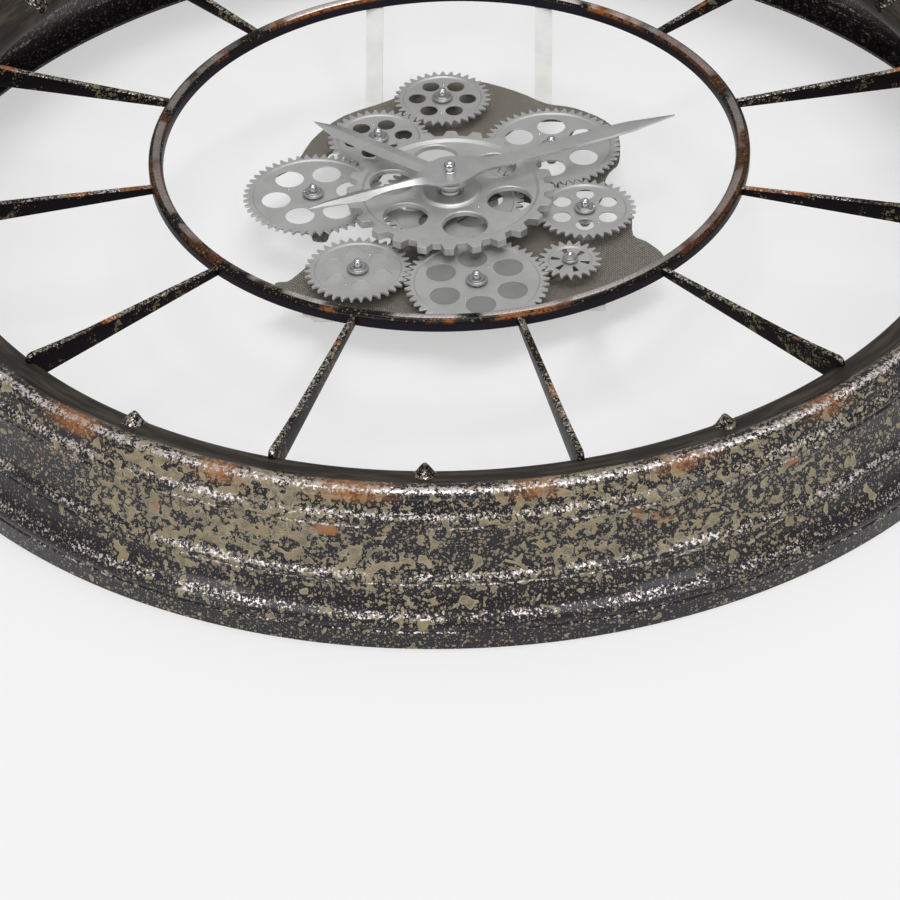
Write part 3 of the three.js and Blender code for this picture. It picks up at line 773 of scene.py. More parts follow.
    def painted_glint_mask(self, bench: Bench, where: Any, ways: bpy.types.Node, drift: Any,
                   rust: Any) -> bpy.types.NodeSocket:
        """Returns where the painted highlight specks lie on the crest and the beads.
            where: The object coordinates.
            ways: The placed group of places round the clock.
            drift: Soft clouds drawn out along the rim.
            rust: The mask of the copper, which is less bright.

        Returns:
            A mask of specks along the crest and the beads.
        """
        radius, depth = ways.outputs["Radius"], ways.outputs["Depth"]
        front = bench.window(depth, *self.crest_depths, 0.0020)
        crest = bench.math("MULTIPLY", bench.window(radius, *self.crest_radii, 0.0028), front)
        beads = bench.math("MULTIPLY", self.bead_highlight_ramp(bench, depth),
                           bench.remap(radius, *self.outside))
        beads = bench.math("MULTIPLY", beads, bench.remap(drift, 0.34, 0.58, 0.25, 1.0))
        shine = bench.math("MAXIMUM", crest, beads)
        level = bench.math("ADD", bench.noise(where, 520.0, 3.0, 0.7),
                           bench.math("MULTIPLY", shine, 0.22))
        specks = bench.math("MULTIPLY", bench.remap(level, 0.68, 0.74),
                            bench.remap(shine, 0.05, 0.3))
        return bench.math("MULTIPLY", specks, bench.remap(rust, 0.1, 0.8, 1.0, 0.45))

    def make(self, effects: Effects) -> bpy.types.Material:
        """Makes the material.

        Args:
            effects: The shared groups.

        Returns:
            The material.
        """
        material, bench, shader = new_material(self.name)
        where = bench.object_place()
        ways = bench.group(effects.round_clock, Vector=where)
        streak = bench.node("Mapping", Vector=ways.outputs["Along"], Scale=(26.0, 150.0, 1.0))
        streaks = bench.noise(streak.outputs[0], 1.0, 4.0, 0.6)
        uneven = bench.math("MULTIPLY", bench.math("SUBTRACT", streaks, 0.5), self.lip_ragged)
        clear = bench.remap(bench.math("ADD", ways.outputs["Radius"], uneven), *self.lip_end)
        plenty = self.plenty(bench, where, ways.outputs["Depth"], clear)
        layers = paint_layers(bench, effects, where, plenty, self.blotch_level)
        lip = bench.mix(bench.remap(streaks, 0.42, 0.66), self.lip, self.lip_light)
        tone = bench.remap(bench.noise(where, 150.0, 2.0), 0.36, 0.62)
        inside = bench.mix(tone, self.blotch, self.blotch_light)
        paint = bench.mix(bench.math("MULTIPLY", layers.edge, 0.7), inside, self.outline)
        colour = bench.mix(layers.mask, bench.mix(clear, lip, self.base), paint)
        along = bench.node("Mapping", Vector=ways.outputs["Along"], Scale=(22.0, 60.0, 1.0))
        drift = bench.noise(along.outputs[0], 1.0, 3.0)
        rust = self.copper_mask(bench, where, ways, drift)
        colour = bench.mix(bench.math("MULTIPLY", rust, 0.9), colour, self.copper)
        # Painted highlight: bright metallic specks along the crest and the beads, in place of lamp
        # highlights.
        painted_glint = self.painted_glint_mask(bench, where, ways, drift, rust)
        satin = bench.remap(clear, 0.0, 1.0, self.lip_rough, self.paint_rough)
        cloud = bench.math("MULTIPLY", bench.noise(where, 26.0, 3.0), 0.12)
        bench.give(shader, Base_Color=bench.mix(painted_glint, colour, self.painted_glint),
                   Metallic=bench.math("MULTIPLY", painted_glint, 0.9),
                   Roughness=bench.math("ADD", satin, cloud),
                   Coat_Weight=bench.math("MULTIPLY", clear, 0.45))
        grit = bench.math("MULTIPLY", bench.noise(where, 700.0, 3.0, 0.65),
                          bench.remap(clear, 0.0, 1.0, 0.12, 0.55))
        bumped(bench, shader, bench.math("ADD", layers.height, grit), 0.5, 0.9)
        shader.inputs["Coat Roughness"].default_value = 0.14
        shader.inputs["Specular IOR Level"].default_value = 0.2
        return material


@dataclass(frozen=True)
class BarPaint:
    """Glossy black-brown paint of the hoop and the spokes, spattered on the front edges.

    The spreads are shares of the droplets that land. Copper and the painted highlight begin at
    a grey of their noise. The painted highlight, bright metallic specks, lies on a ring between
    two radii, and it and the copper fade out between two distances from the clock's middle,
    all in metres.
    """

    name: str = "bar_spatter"
    side_spread: float = 0.9
    front_spread: float = 0.86
    copper_from: float = 0.61
    # Painted highlight specks begin at this grey and lie on this ring of radii.
    glint_from: float = 0.52
    glint_ring: tuple[float, float] = (0.0, 1.0)
    ring_soft: float = 0.0004
    # Copper and the painted highlight fade out between these distances from the middle.
    copper_and_highlight_within: tuple[float, float] = (0.9, 1.0)
    blotch_level: float = 0.59
    side: Colour = (0.009, 0.007, 0.009)
    base: Colour = (0.007, 0.006, 0.005)
    droplet: Colour = (0.14, 0.115, 0.06)
    outline: Colour = (0.25, 0.21, 0.13)
    copper: Colour = (0.33, 0.105, 0.022)
    # Colour of the painted highlight specks.
    painted_glint: Colour = (0.80, 0.72, 0.69)

    def copper_mask(self, bench: Bench, where: Any, front: Any,
                    copper_and_highlight_reach: Any) -> bpy.types.NodeSocket:
        """Returns where copper was brushed on.

        Args:
            bench: The bench of the material.
            where: The object coordinates.
            front: A mask of the faces that look forward.
            copper_and_highlight_reach: How much of the copper shows, fading away from the clock's
                middle.

        Returns:
            A ragged mask.
        """
        drift = bench.remap(bench.noise(where, 21.0, 2.0), self.copper_from,
                            self.copper_from + 0.05)
        torn = bench.remap(bench.noise(where, 380.0, 3.0, 0.7), 0.36, 0.52)
        rust = bench.math("MULTIPLY", bench.math("MULTIPLY", drift, torn), front)
        return bench.math("MULTIPLY", rust, copper_and_highlight_reach)

    def painted_glint_mask(self, bench: Bench, effects: Effects, where: Any, front: Any,
                   copper_and_highlight_reach: Any) -> bpy.types.NodeSocket:
        """Returns where the painted highlight specks lie.

        Args:
            bench: The bench of the material.
            effects: The shared groups.
            where: The object coordinates.
            front: A mask of the faces that look forward.
            copper_and_highlight_reach: How much of the painted highlight shows, fading away from
                the middle.

        Returns:
            A mask of specks.
        """
        sparks = bench.remap(bench.noise(where, 600.0, 3.0, 0.7), self.glint_from,
                             self.glint_from + 0.08)
        painted_glint = bench.math("MULTIPLY", sparks, bench.remap(front, 0.90, 1.0))
        clouds = bench.remap(bench.noise(where, 30.0, 2.0), 0.38, 0.52)
        painted_glint = bench.math("MULTIPLY", bench.math("MULTIPLY", painted_glint, clouds), copper_and_highlight_reach)
        radius = bench.group(effects.round_clock, Vector=where).outputs["Radius"]
        inner, outer = self.glint_ring
        ring = bench.window(radius, inner + self.ring_soft, outer - self.ring_soft,
                            2 * self.ring_soft)
        return bench.math("MULTIPLY", painted_glint, ring)

    def make(self, effects: Effects) -> bpy.types.Material:
        """Makes the material.

        Args:
            effects: The shared groups.

        Returns:
            The material.
        """
        material, bench, shader = new_material(self.name)
        where = bench.object_place()
        facing = bench.node("SeparateXYZ", Vector=bench.node("NewGeometry").outputs["Normal"])
        front = bench.remap(bench.math("MULTIPLY", facing.outputs[1], -1.0), 0.12, 0.6)
        runs = bench.remap(bench.noise(where, 55.0, 2.0), 0.42, 0.60, 0.0, self.side_spread)
        spread = bench.math("MAXIMUM", bench.math("MULTIPLY", front, self.front_spread), runs)
        layers = paint_layers(bench, effects, where, spread, self.blotch_level)
        base = bench.mix(front, self.side, self.base)
        paint = bench.mix(bench.math("MULTIPLY", layers.edge, 0.6), self.droplet, self.outline)
        colour = bench.mix(layers.mask, base, paint)
        # Copper and the painted highlight both fade away from the clock's middle.
        copper_and_highlight_reach = bench.remap(bench.aside(where), *self.copper_and_highlight_within, 1.0, 0.25)
        rust = self.copper_mask(bench, where, front, copper_and_highlight_reach)
        colour = bench.mix(bench.math("MULTIPLY", rust, 0.85), colour, self.copper)
        # Painted highlight: bright metallic specks on the front faces, where lamp highlights fall.
        painted_glint = self.painted_glint_mask(bench, effects, where, front, copper_and_highlight_reach)
        fine = bench.noise(where, 800.0, 3.0, 0.65)
        bench.give(shader, Base_Color=bench.mix(painted_glint, colour, self.painted_glint),
                   Metallic=bench.math("MULTIPLY", painted_glint, 0.9),
                   Roughness=bench.math("ADD", bench.math("MULTIPLY", fine, 0.2), 0.18),
                   Coat_Weight=bench.math("MULTIPLY", front, 0.25))
        grit = bench.math("MULTIPLY", fine, bench.remap(front, 0.0, 1.0, 0.05, 0.5))
        bumped(bench, shader, bench.math("ADD", layers.height, grit), 0.35, 0.8)
        shader.inputs["Coat Roughness"].default_value = 0.1
        shader.inputs["Specular IOR Level"].default_value = 0.04
        return material


@dataclass(frozen=True)
class SatinMetal:
    """Bare or silvered metal with fine grain."""

    name: str
    colour: Colour
    roughness: float
    grain: float
    metallic: float = 1.0
    darkening: float = 0.86

    def make(self, effects: Effects) -> bpy.types.Material:
        """Makes the material.

        Args:
            effects: The shared groups.

        Returns:
            The material.
        """
        material, bench, shader = new_material(self.name)
        where = bench.object_place()
        grain = bench.group(effects.grain, Vector=where, Scale=2600.0)
        darker = tuple(self.darkening * c for c in self.colour)
        shade = bench.remap(grain.outputs["Shade"], 0.3, 0.7)
        rough = bench.math("ADD", self.roughness, bench.math("MULTIPLY", shade, 0.06))
        bench.give(shader, Base_Color=bench.mix(shade, self.colour, darker), Roughness=rough)
        bumped(bench, shader, grain.outputs["Height"], self.grain, 0.5)
        shader.inputs["Metallic"].default_value = self.metallic
        return material


@dataclass(frozen=True)
class WovenFinish:
    """Matt sheet with a pressed linen weave."""

    name: str
    dark: Colour
    light: Colour
    pitch: float = 1.2
    roughness: float = 0.72

    def make(self, effects: Effects) -> bpy.types.Material:
        """Makes the material.

        Args:
            effects: The shared groups.

        Returns:
            The material.
        """
        material, bench, shader = new_material(self.name)
        where = bench.object_place()
        weave = bench.group(effects.weave, Vector=where, Pitch=self.pitch * MM)
        level = bench.math("ADD", bench.math("MULTIPLY", weave.outputs["Height"], 0.6),
                           bench.math("MULTIPLY", weave.outputs["Shade"], 0.7))
        bench.give(shader, Base_Color=bench.mix(bench.remap(level, 0.3, 0.95), self.dark,
                                                self.light))
        bumped(bench, shader, weave.outputs["Height"], 0.25, 0.8)
        shader.inputs["Roughness"].default_value = self.roughness
        return material


@dataclass(frozen=True)
class MouldedPlastic:
    """Plain moulded plastic with a faint grain."""

    name: str
    colour: Colour
    roughness: float
    darkening: float = 0.9

    def make(self, effects: Effects) -> bpy.types.Material:
        """Makes the material.

        Args:
            effects: The shared groups.

        Returns:
            The material.
        """
        material, bench, shader = new_material(self.name)
        where = bench.object_place()
        grain = bench.group(effects.grain, Vector=where, Scale=1400.0)
        shade = bench.remap(grain.outputs["Shade"], 0.3, 0.7)
        darker = tuple(self.darkening * c for c in self.colour)
        rough = bench.math("ADD", self.roughness, bench.math("MULTIPLY", shade, 0.08))
        bench.give(shader, Base_Color=bench.mix(shade, self.colour, darker), Roughness=rough)
        bumped(bench, shader, grain.outputs["Height"], 0.05, 0.6)
        return material


class Finishes:
    """Every finish of the clock, made once."""

    def __init__(self) -> None:
        """Makes every material."""
        effects = Effects()
        self.rim = SpatteredPaint().make(effects)
        self.bars = BarPaint().make(effects)
        # The hoop's painted highlight lies on a narrow ring of its crown, near the middle of its
        # width.
        self.hoop = BarPaint("hoop_spatter", side_spread=0.0, front_spread=0.64, copper_from=0.47,
                             glint_from=0.28, glint_ring=(0.1914, 0.1960),
                             copper_and_highlight_within=(0.09, 0.15), side=(0.022, 0.018, 0.026)).make(effects)
        self.gear = SatinMetal("gear_silver", (0.66, 0.66, 0.65), 0.40, 0.03, 0.75).make(effects)
        self.dark_floor = SatinMetal("pocket_dark", (0.40, 0.40, 0.39), 0.45, 0.03,
                                     0.8).make(effects)
        self.pale_floor = SatinMetal("pocket_pale", (0.68, 0.68, 0.66), 0.4, 0.03,
                                     0.7).make(effects)
        self.chrome = SatinMetal("chrome", (0.72, 0.72, 0.73), 0.06, 0.0).make(effects)
        self.steel = SatinMetal("brushed_steel", (0.50, 0.50, 0.50), 0.32, 0.03, 0.9).make(effects)
        self.hand = SatinMetal("hand_silver", (0.70, 0.70, 0.695), 0.30, 0.02, 0.9).make(effects)
        self.plate = WovenFinish("woven_plate", (0.040, 0.037, 0.030),
                                 (0.34, 0.315, 0.26)).make(effects)
        self.white = MouldedPlastic("white_plastic", (0.86, 0.86, 0.84), 0.45).make(effects)
        self.black = MouldedPlastic("black_plastic", (0.018, 0.018, 0.019), 0.5).make(effects)
        self.cell = MouldedPlastic("cell_jacket", (0.10, 0.12, 0.14), 0.3).make(effects)


@dataclass
class Rim:
    """Outer rim: a deep stepped drum, drawn as one turned sheet."""

    steps: int = 288
    flange: Sequence[Point] = ((399.5, 0.05), (399.5, 12.2))
    bead_low: Sequence[Point] = (
        (398.7, 12.9), (399.3, 15.0), (399.1, 17.2), (398.0, 19.4), (396.2, 21.8), (393.9, 24.8),
        (391.4, 29.2), (389.4, 34.0), (388.2, 38.4))
    bead_middle: Sequence[Point] = (
        (387.2, 39.2), (388.5, 40.6), (388.6, 42.2), (387.6, 44.2), (386.0, 46.2), (384.7, 48.6),
        (383.8, 52.0), (382.6, 58.0), (381.4, 64.0), (380.7, 69.5), (380.3, 74.4))
    bead_high: Sequence[Point] = (
        (379.3, 75.2), (380.1, 77.2), (379.6, 79.4), (378.2, 81.6), (376.8, 83.8), (375.8, 86.4),
        (374.8, 88.8), (373.9, 91.0))
    crest: Sequence[Point] = (
        (373.0, 91.7), (372.4, 93.6), (370.2, 95.0), (366.8, 95.45), (363.6, 95.0), (360.8, 93.4),
        (358.0, 91.7), (354.4, 90.4), (350.0, 89.6), (346.0, 88.6), (343.0, 87.1), (341.2, 85.2),
        (340.4, 82.0), (340.3, 78.4), (341.6, 74.6), (345.0, 73.2))
    inside: Sequence[Point] = (
        (346.2, 76.0), (349.6, 83.0), (356.0, 87.4), (364.0, 91.4), (371.0, 90.0), (376.2, 80.0),
        (378.4, 66.0), (382.6, 46.0), (388.0, 32.0), (395.0, 17.0), (397.6, 2.3), (386.2, 2.3),
        (386.2, 0.05))

    def build(self, finishes: Finishes) -> None:
        """Turns the profile and stands it for the frame's rim.

        Args:
            finishes: The clock's finishes.
        """
        beads = [point for bead in (self.bead_low, self.bead_middle, self.bead_high)
                 for point in curve_through(bead, 3)]
        profile = [*self.flange, *beads, *curve_through(self.crest, 4), *self.inside]
        former = Former()
        former.spin(profile, self.steps, closed=True)
        rim = former.piece("rim_shell", sharp=40)
        fit(rim, finishes.rim, Slot.RIM, Body.FRAME.value, "outer_rim")


@dataclass
class Studs:
    """Twelve blunt cones on the rim's inner roll."""

    count: int = 12
    foot: Point = (347.6, 87.4)
    lean: float = 17.5
    profile: Sequence[Point] = (
        (0, -6.0), (9.2, -6.0), (9.4, -1.2), (9.0, -0.2), (7.6, 0.8), (6.1, 2.1), (4.8, 3.6),
        (3.6, 5.1), (2.5, 6.4), (1.6, 7.4), (0.8, 8.0), (0, 8.2))

    def build(self, finishes: Finishes) -> None:
        """Makes every stud and turns it to its hour.

        Args:
            finishes: The clock's finishes.
        """
        for hour in range(self.count):
            former = Former()
            former.spin(self.profile, 40)
            tilt = Matrix.Rotation(math.radians(self.lean), 3, "X")
            bmesh.ops.rotate(former.bm, verts=former.bm.verts, cent=(0, 0, 0), matrix=tilt)
            bmesh.ops.translate(former.bm, verts=former.bm.verts,
                                vec=place(0, self.foot[0], self.foot[1]))
            former.rotate(360 * hour / self.count)
            number = f"{hour or self.count:02d}"
            stud = former.piece(f"stud_{number}", sharp=50)
            fit(stud, finishes.bars, Slot.RIM, Body.FRAME.value, f"hour_stud_{number}")


@dataclass
class Hoop:
    """Inner hoop: a flat-backed bar with a rounded front."""

    steps: int = 240
    inner: float = 189.55
    outer: float = 199.05
    back: float = 77.6
    chamfer: float = 0.6
    crown: Sequence[Point] = (
        (199.05, 82.6), (198.7, 84.3), (197.6, 85.8), (196.0, 86.6), (194.4, 86.9), (192.8, 86.6),
        (191.1, 85.8), (189.95, 84.3), (189.55, 82.6))

    def build(self, finishes: Finishes) -> None:
        """Turns the bar and stands it for the frame's hoop.

        Args:
            finishes: The clock's finishes.
        """
        cut = self.chamfer
        profile = [(self.inner, self.back + cut), (self.inner + cut, self.back),
                   (self.outer - cut, self.back), (self.outer, self.back + cut),
                   *curve_through(self.crown, 3)]
        former = Former()
        former.spin(profile, self.steps, closed=True)
        hoop = former.piece("hoop_bar", sharp=40)
        fit(hoop, finishes.hoop, Slot.DARK, Body.FRAME.value, "inner_hoop")


@dataclass
class Spokes:
    """Twelve bars from the hoop to the rim, each deeper towards the rim."""

    count: int = 12
    wide: float = 4.3
    edge_round: float = 0.9
    outline: Sequence[Point] = (
        (197.6, 79.0), (197.6, 84.4), (300.0, 89.2), (322.0, 91.2), (337.0, 92.9), (341.8, 93.6),
        (344.2, 93.2), (345.8, 91.6), (346.8, 88.6), (346.6, 84.0), (345.0, 79.5), (343.2, 75.0))

    def build(self, finishes: Finishes) -> None:
        """Makes every bar and turns it to its place between two hours.

        Args:
            finishes: The clock's finishes.
        """
        for number in range(self.count):
            former = Former()
            corners = [former.bm.verts.new((-self.wide / 2 * MM, -d * MM, r * MM))
                       for r, d in self.outline]
            face = former.bm.faces.new(corners)
            grown = bmesh.ops.extrude_face_region(former.bm, geom=[face])["geom"]
            bmesh.ops.translate(former.bm, vec=(self.wide * MM, 0, 0),
                                verts=[g for g in grown if isinstance(g, bmesh.types.BMVert)])
            edges = [e for e in former.bm.edges if abs(e.verts[0].co.x - e.verts[1].co.x) < 1e-7]
            bmesh.ops.bevel(former.bm, geom=edges, offset=self.edge_round * MM, affect="EDGES",
                            segments=3, profile=0.5, material=-1)
            former.rotate(360 * (number + 0.5) / self.count)
            bar = former.piece(f"spoke_bar_{number + 1:02d}", sharp=50)
            fit(bar, finishes.bars, Slot.DARK, Body.FRAME.value, f"spoke_{number + 1:02d}")


@dataclass
class TrainWheel:
    """One small gear.

    The ends of a window are each a radius in modules and half an angle in degrees, and
    a hole's two sizes are how far out it lies and its radius. The floors' three are the
    depths of their faces above the pocket and how much they narrow.
    """

    node: str
    body: str
    joint: str
    teeth: int
    openings: Openings
    hole_deg: float
    rivet_deg: float
    module: float = 1.9
    recess: float = 0.8
    pocket: float = 0.55
    bore: float = 3.15
    ring_drop: float = 6.3
    flank: Sequence[Point] = (
        (0.04, 0.09), (0.24, 0.19), (0.95, 0.31), (1.9, 0.42), (3.0, 0.58), (3.9, 0.76), (4.3, 0.9))
    root: float = 4.4
    window_in: Point = (3.5, 6)
    window_out: Point = (6.8, 9)
    large_hole: Point = (25.46, 9.75)
    small_hole: Point = (17.7, 6.1)
    rivet_at: float = 18.3
    step_taper: float = 0.9
    edge_round: float = 0.2
    floor_sizes: Sequence[float] = (0.02, 0.07, 0.06)

    def centre(self) -> Point:
        """Returns the gear's axis in the front view, from the frame's joint."""
        joint = next(j for j in frame["joints"] if j["name"] == self.joint)
        return joint["pos_m"][0] / MM, joint["pos_m"][2] / MM

    def depths(self) -> Point:
        """Returns how far the back and the front of the frame's gear stand from the wall."""
        low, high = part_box(self.node)
        return -high.y / MM, -low.y / MM

    def phase(self) -> float:
        """Finds how the frame's gear is turned.

        Returns:
            The angle of one of its teeth, in degrees.
        """
        cx, cz = self.centre()
        sines = cosines = 0.0
        corners = [v.co for v in frame["nodes"][self.node].data.vertices]
        radii = [math.hypot(c.x / MM - cx, c.z / MM - cz) for c in corners]
        reach = max(radii)
        for corner, radius in zip(corners, radii):
            if radius > reach - 0.05:
                turn = math.atan2(corner.z / MM - cz, corner.x / MM - cx) * self.teeth
                sines += math.sin(turn)
                cosines += math.cos(turn)
        return math.degrees(math.atan2(sines, cosines)) / self.teeth

    def outline(self) -> list[Point]:
        """Draws the toothed outline.

        Returns:
            The outline, with tapered teeth, rounded tips and gullets.
        """
        centre = self.centre()
        tip = self.teeth * self.module / 2 + self.module
        half = 180 / self.teeth
        start = self.phase()
        points: list[Point] = []
        for i in range(self.teeth):
            middle = start + 2 * half * i
            points += [polar(tip - drop, middle - share * half, centre)
                       for drop, share in reversed(self.flank)]
            points += [polar(tip - drop, middle + share * half, centre)
                       for drop, share in self.flank]
            points.append(polar(tip - self.root, middle + half, centre))
        return points

    def hole_rings(self) -> list[list[Point]]:
        """Draws the six holes, pockets or windows.

        Returns:
            Their outlines.
        """
        centre = self.centre()
        middles = [self.hole_deg + 360 / HOLES * i for i in range(HOLES)]
        if self.openings is Openings.WINDOWS:
            (near, thin), (far, wide) = self.window_in, self.window_out
            return [arc(near * self.module, middle - thin, middle + thin, 3, centre)
                    + arc(far * self.module, middle + wide, middle - wide, 5, centre)
                    for middle in middles]
        large = self.openings in (Openings.LARGE, Openings.LARGE_POCKETS)
        at, radius = self.large_hole if large else self.small_hole
        return [circle(radius, 44, polar(at, middle, centre)) for middle in middles]

    def build(self, finishes: Finishes) -> None:
        """Forms the gear with its raised tooth ring and its rivets.

        Args:
            finishes: The clock's finishes.
        """
        centre = self.centre()
        back, front = self.depths()
        ring_r = self.teeth * self.module / 2 + self.module - self.ring_drop
        web = front - self.recess
        former = Former()
        outer_back = former.ring(self.outline(), back)
        outer_front = former.draw_out(outer_back, front)
        step_front = former.ring(circle(ring_r, 120, centre), front)
        step_web = former.draw_out(step_front, web, -self.step_taper, centre)
        bore_web = former.ring(circle(self.bore, 32, centre), web)
        bore_back = former.draw_out(bore_web, back)
        former.cap(outer_front, step_front)
        webs, backs = [step_web, bore_web], [outer_back, bore_back]
        pockets = self.openings in (Openings.LARGE_POCKETS, Openings.SMALL_POCKETS)
        for points in self.hole_rings():
            hole = former.ring(points, web)
            webs.append(hole)
            if pockets:
                former.cap(former.draw_out(hole, web - self.pocket))
            else:
                backs.append(former.draw_out(hole, back))
        former.cap(*webs)
        former.cap(*backs)
        wheel = former.piece(f"{self.node}_wheel")
        soften(wheel, self.edge_round)
        fit(wheel, finishes.gear, Slot.GEAR, self.body, self.node)
        if pockets:
            self.floors(finishes, web - self.pocket)
        if self.rivet_deg >= 0:
            self.rivets(finishes, web)

    def floors(self, finishes: Finishes, depth: float) -> None:
        """Lays a thin smooth disc on the floor of every pocket.

        Args:
            finishes: The clock's finishes.
            depth: How far the floors stand from the wall.
        """
        large = self.openings is Openings.LARGE_POCKETS
        former = Former()
        under, over, narrower = self.floor_sizes
        for points in self.hole_rings():
            low = former.ring(points, depth + under)
            high = former.draw_out(low, depth + over, -narrower)
            former.cap(low)
            former.cap(high)
        floors = former.piece(f"{self.node}_floors")
        fit(floors, finishes.dark_floor if large else finishes.pale_floor, Slot.GEAR, self.body)

    def rivets(self, finishes: Finishes, web: float) -> None:
        """Sets two small domed rivets in the web, opposite each other.

        Args:
            finishes: The clock's finishes.
            web: How far the web's face stands from the wall.
        """
        for number in (0, 1):
            at = polar(self.rivet_at, self.rivet_deg + 180 * number, self.centre())
            rivet(f"{self.node}_rivet_{number + 1}", at, web, self.body, finishes)


def rivet(name: str, at: Point, web: float, body: str, finishes: Finishes) -> None:
    """Sets one small domed rivet.

    Args:
        name: The rivet's name.
        at: Where it sits in the front view.
        web: How far the face that it sits on stands from the wall.
        body: The body that it rides on.
        finishes: The clock's finishes.
    """
    former = Former()
    former.spin([(0, web - 0.4), (0.9, web - 0.4), (0.9, web + 0.15), (0.6, web + 0.45),
                 (0, web + 0.6)], 20, centre=at)
    fit(former.piece(name, sharp=60), finishes.chrome, Slot.CHROME, body)


@dataclass
class Bolt:
    """Post, spacer, washers and ball nut of one small gear.

    The depths of the cup, the low boss, the dome and the ball are counted from the seat.
    """

    node: str
    wheel: TrainWheel
    boss: bool = False
    clip_deg: float = -1
    tail: float = 24.6
    plate: float = 28.1
    rest_gap: float = 0.3
    post: float = 2.95
    spacer: float = 4.95
    cup: Sequence[Point] = (
        (7.0, 0), (7.15, 0.2), (7.15, 0.7), (6.9, 0.95), (5.6, 1.05), (5.3, 1.25), (5.2, 2.0),
        (4.8, 2.4), (3.7, 2.5), (2.5, 2.4), (0, 2.4))
    low_boss: Sequence[Point] = (
        (5.3, 0), (5.4, 0.2), (5.3, 0.9), (4.6, 1.1), (4.4, 2.4), (4.0, 2.8), (2.0, 2.9), (0, 2.9))
    boss_dome: Sequence[Point] = (
        (0, 2.6), (2.4, 2.6), (2.3, 3.9), (1.7, 5.0), (0.8, 5.5), (0, 5.6))
    ball: float = 3.1
    ball_at: float = 4.4
    ball_foot: Sequence[Point] = ((0, 2.2), (2.0, 2.2))
    ball_top: Point = (0, 7.5)
    clip_size: Sequence[float] = (2.2, 0.9, 1.6)
    clip_at: float = 5.9
    clip_high: float = 1.5
    clip_round: float = 0.25

    def build(self, finishes: Finishes) -> None:
        """Turns the bolt and stands it for the frame's.

        Args:
            finishes: The clock's finishes.
        """
        back, front = self.wheel.depths()
        rest, seat = back - self.rest_gap, front + self.rest_gap
        top = self.low_boss if self.boss else self.cup
        profile = [(0, self.tail), (self.post, self.tail), (self.post, self.plate),
                   (self.spacer, self.plate), (self.spacer, rest), (self.post, rest),
                   (self.post, seat), *((radius, seat + depth) for radius, depth in top)]
        former = Former()
        former.spin(profile, 44, centre=self.wheel.centre())
        bolt = former.piece(f"{self.node}_stack", sharp=38)
        fit(bolt, finishes.steel, Slot.CHROME, Body.FRAME.value, self.node)
        self.dome(finishes, seat)
        if self.clip_deg >= 0:
            self.clip(finishes, seat)

    def dome(self, finishes: Finishes, seat: float) -> None:
        """Sets the bright ball of the nut, or the small dome on the boss.

        Args:
            finishes: The clock's finishes.
            seat: How far the nut's seat stands from the wall.
        """
        if self.boss:
            points = self.boss_dome
        else:
            ball = [polar(self.ball, angle, (0, self.ball_at)) for angle in range(-51, 90, 13)]
            points = (*self.ball_foot, *ball, self.ball_top)
        former = Former()
        former.spin([(radius, seat + depth) for radius, depth in points], 40,
                    centre=self.wheel.centre())
        fit(former.piece(f"{self.node}_ball", sharp=50), finishes.chrome, Slot.CHROME,
            Body.FRAME.value)

    def clip(self, finishes: Finishes, seat: float) -> None:
        """Sets the small tab of the locking clip at the ball's foot.

        Args:
            finishes: The clock's finishes.
            seat: How far the nut's seat stands from the wall.
        """
        x, z = polar(self.clip_at, self.clip_deg, self.wheel.centre())
        former = Former()
        size = Matrix.Diagonal((*(side * MM for side in self.clip_size), 1))
        tab = Matrix.Translation(place(x, z, seat + self.clip_high)) @ size
        bmesh.ops.create_cube(former.bm, size=1, matrix=tab)
        bmesh.ops.bevel(former.bm, geom=former.bm.edges[:], offset=self.clip_round * MM,
                        affect="EDGES", segments=2, profile=0.5, material=-1)
        piece = former.piece(f"{self.node}_clip", sharp=60)
        fit(piece, finishes.chrome, Slot.CHROME, Body.FRAME.value)


@dataclass
class CentreWheel(TrainWheel):
    """Gear behind the big one, fixed on the drive sleeve."""

    def centre(self) -> Point:
        """Returns the clock's axis."""
        return 0.0, 0.0


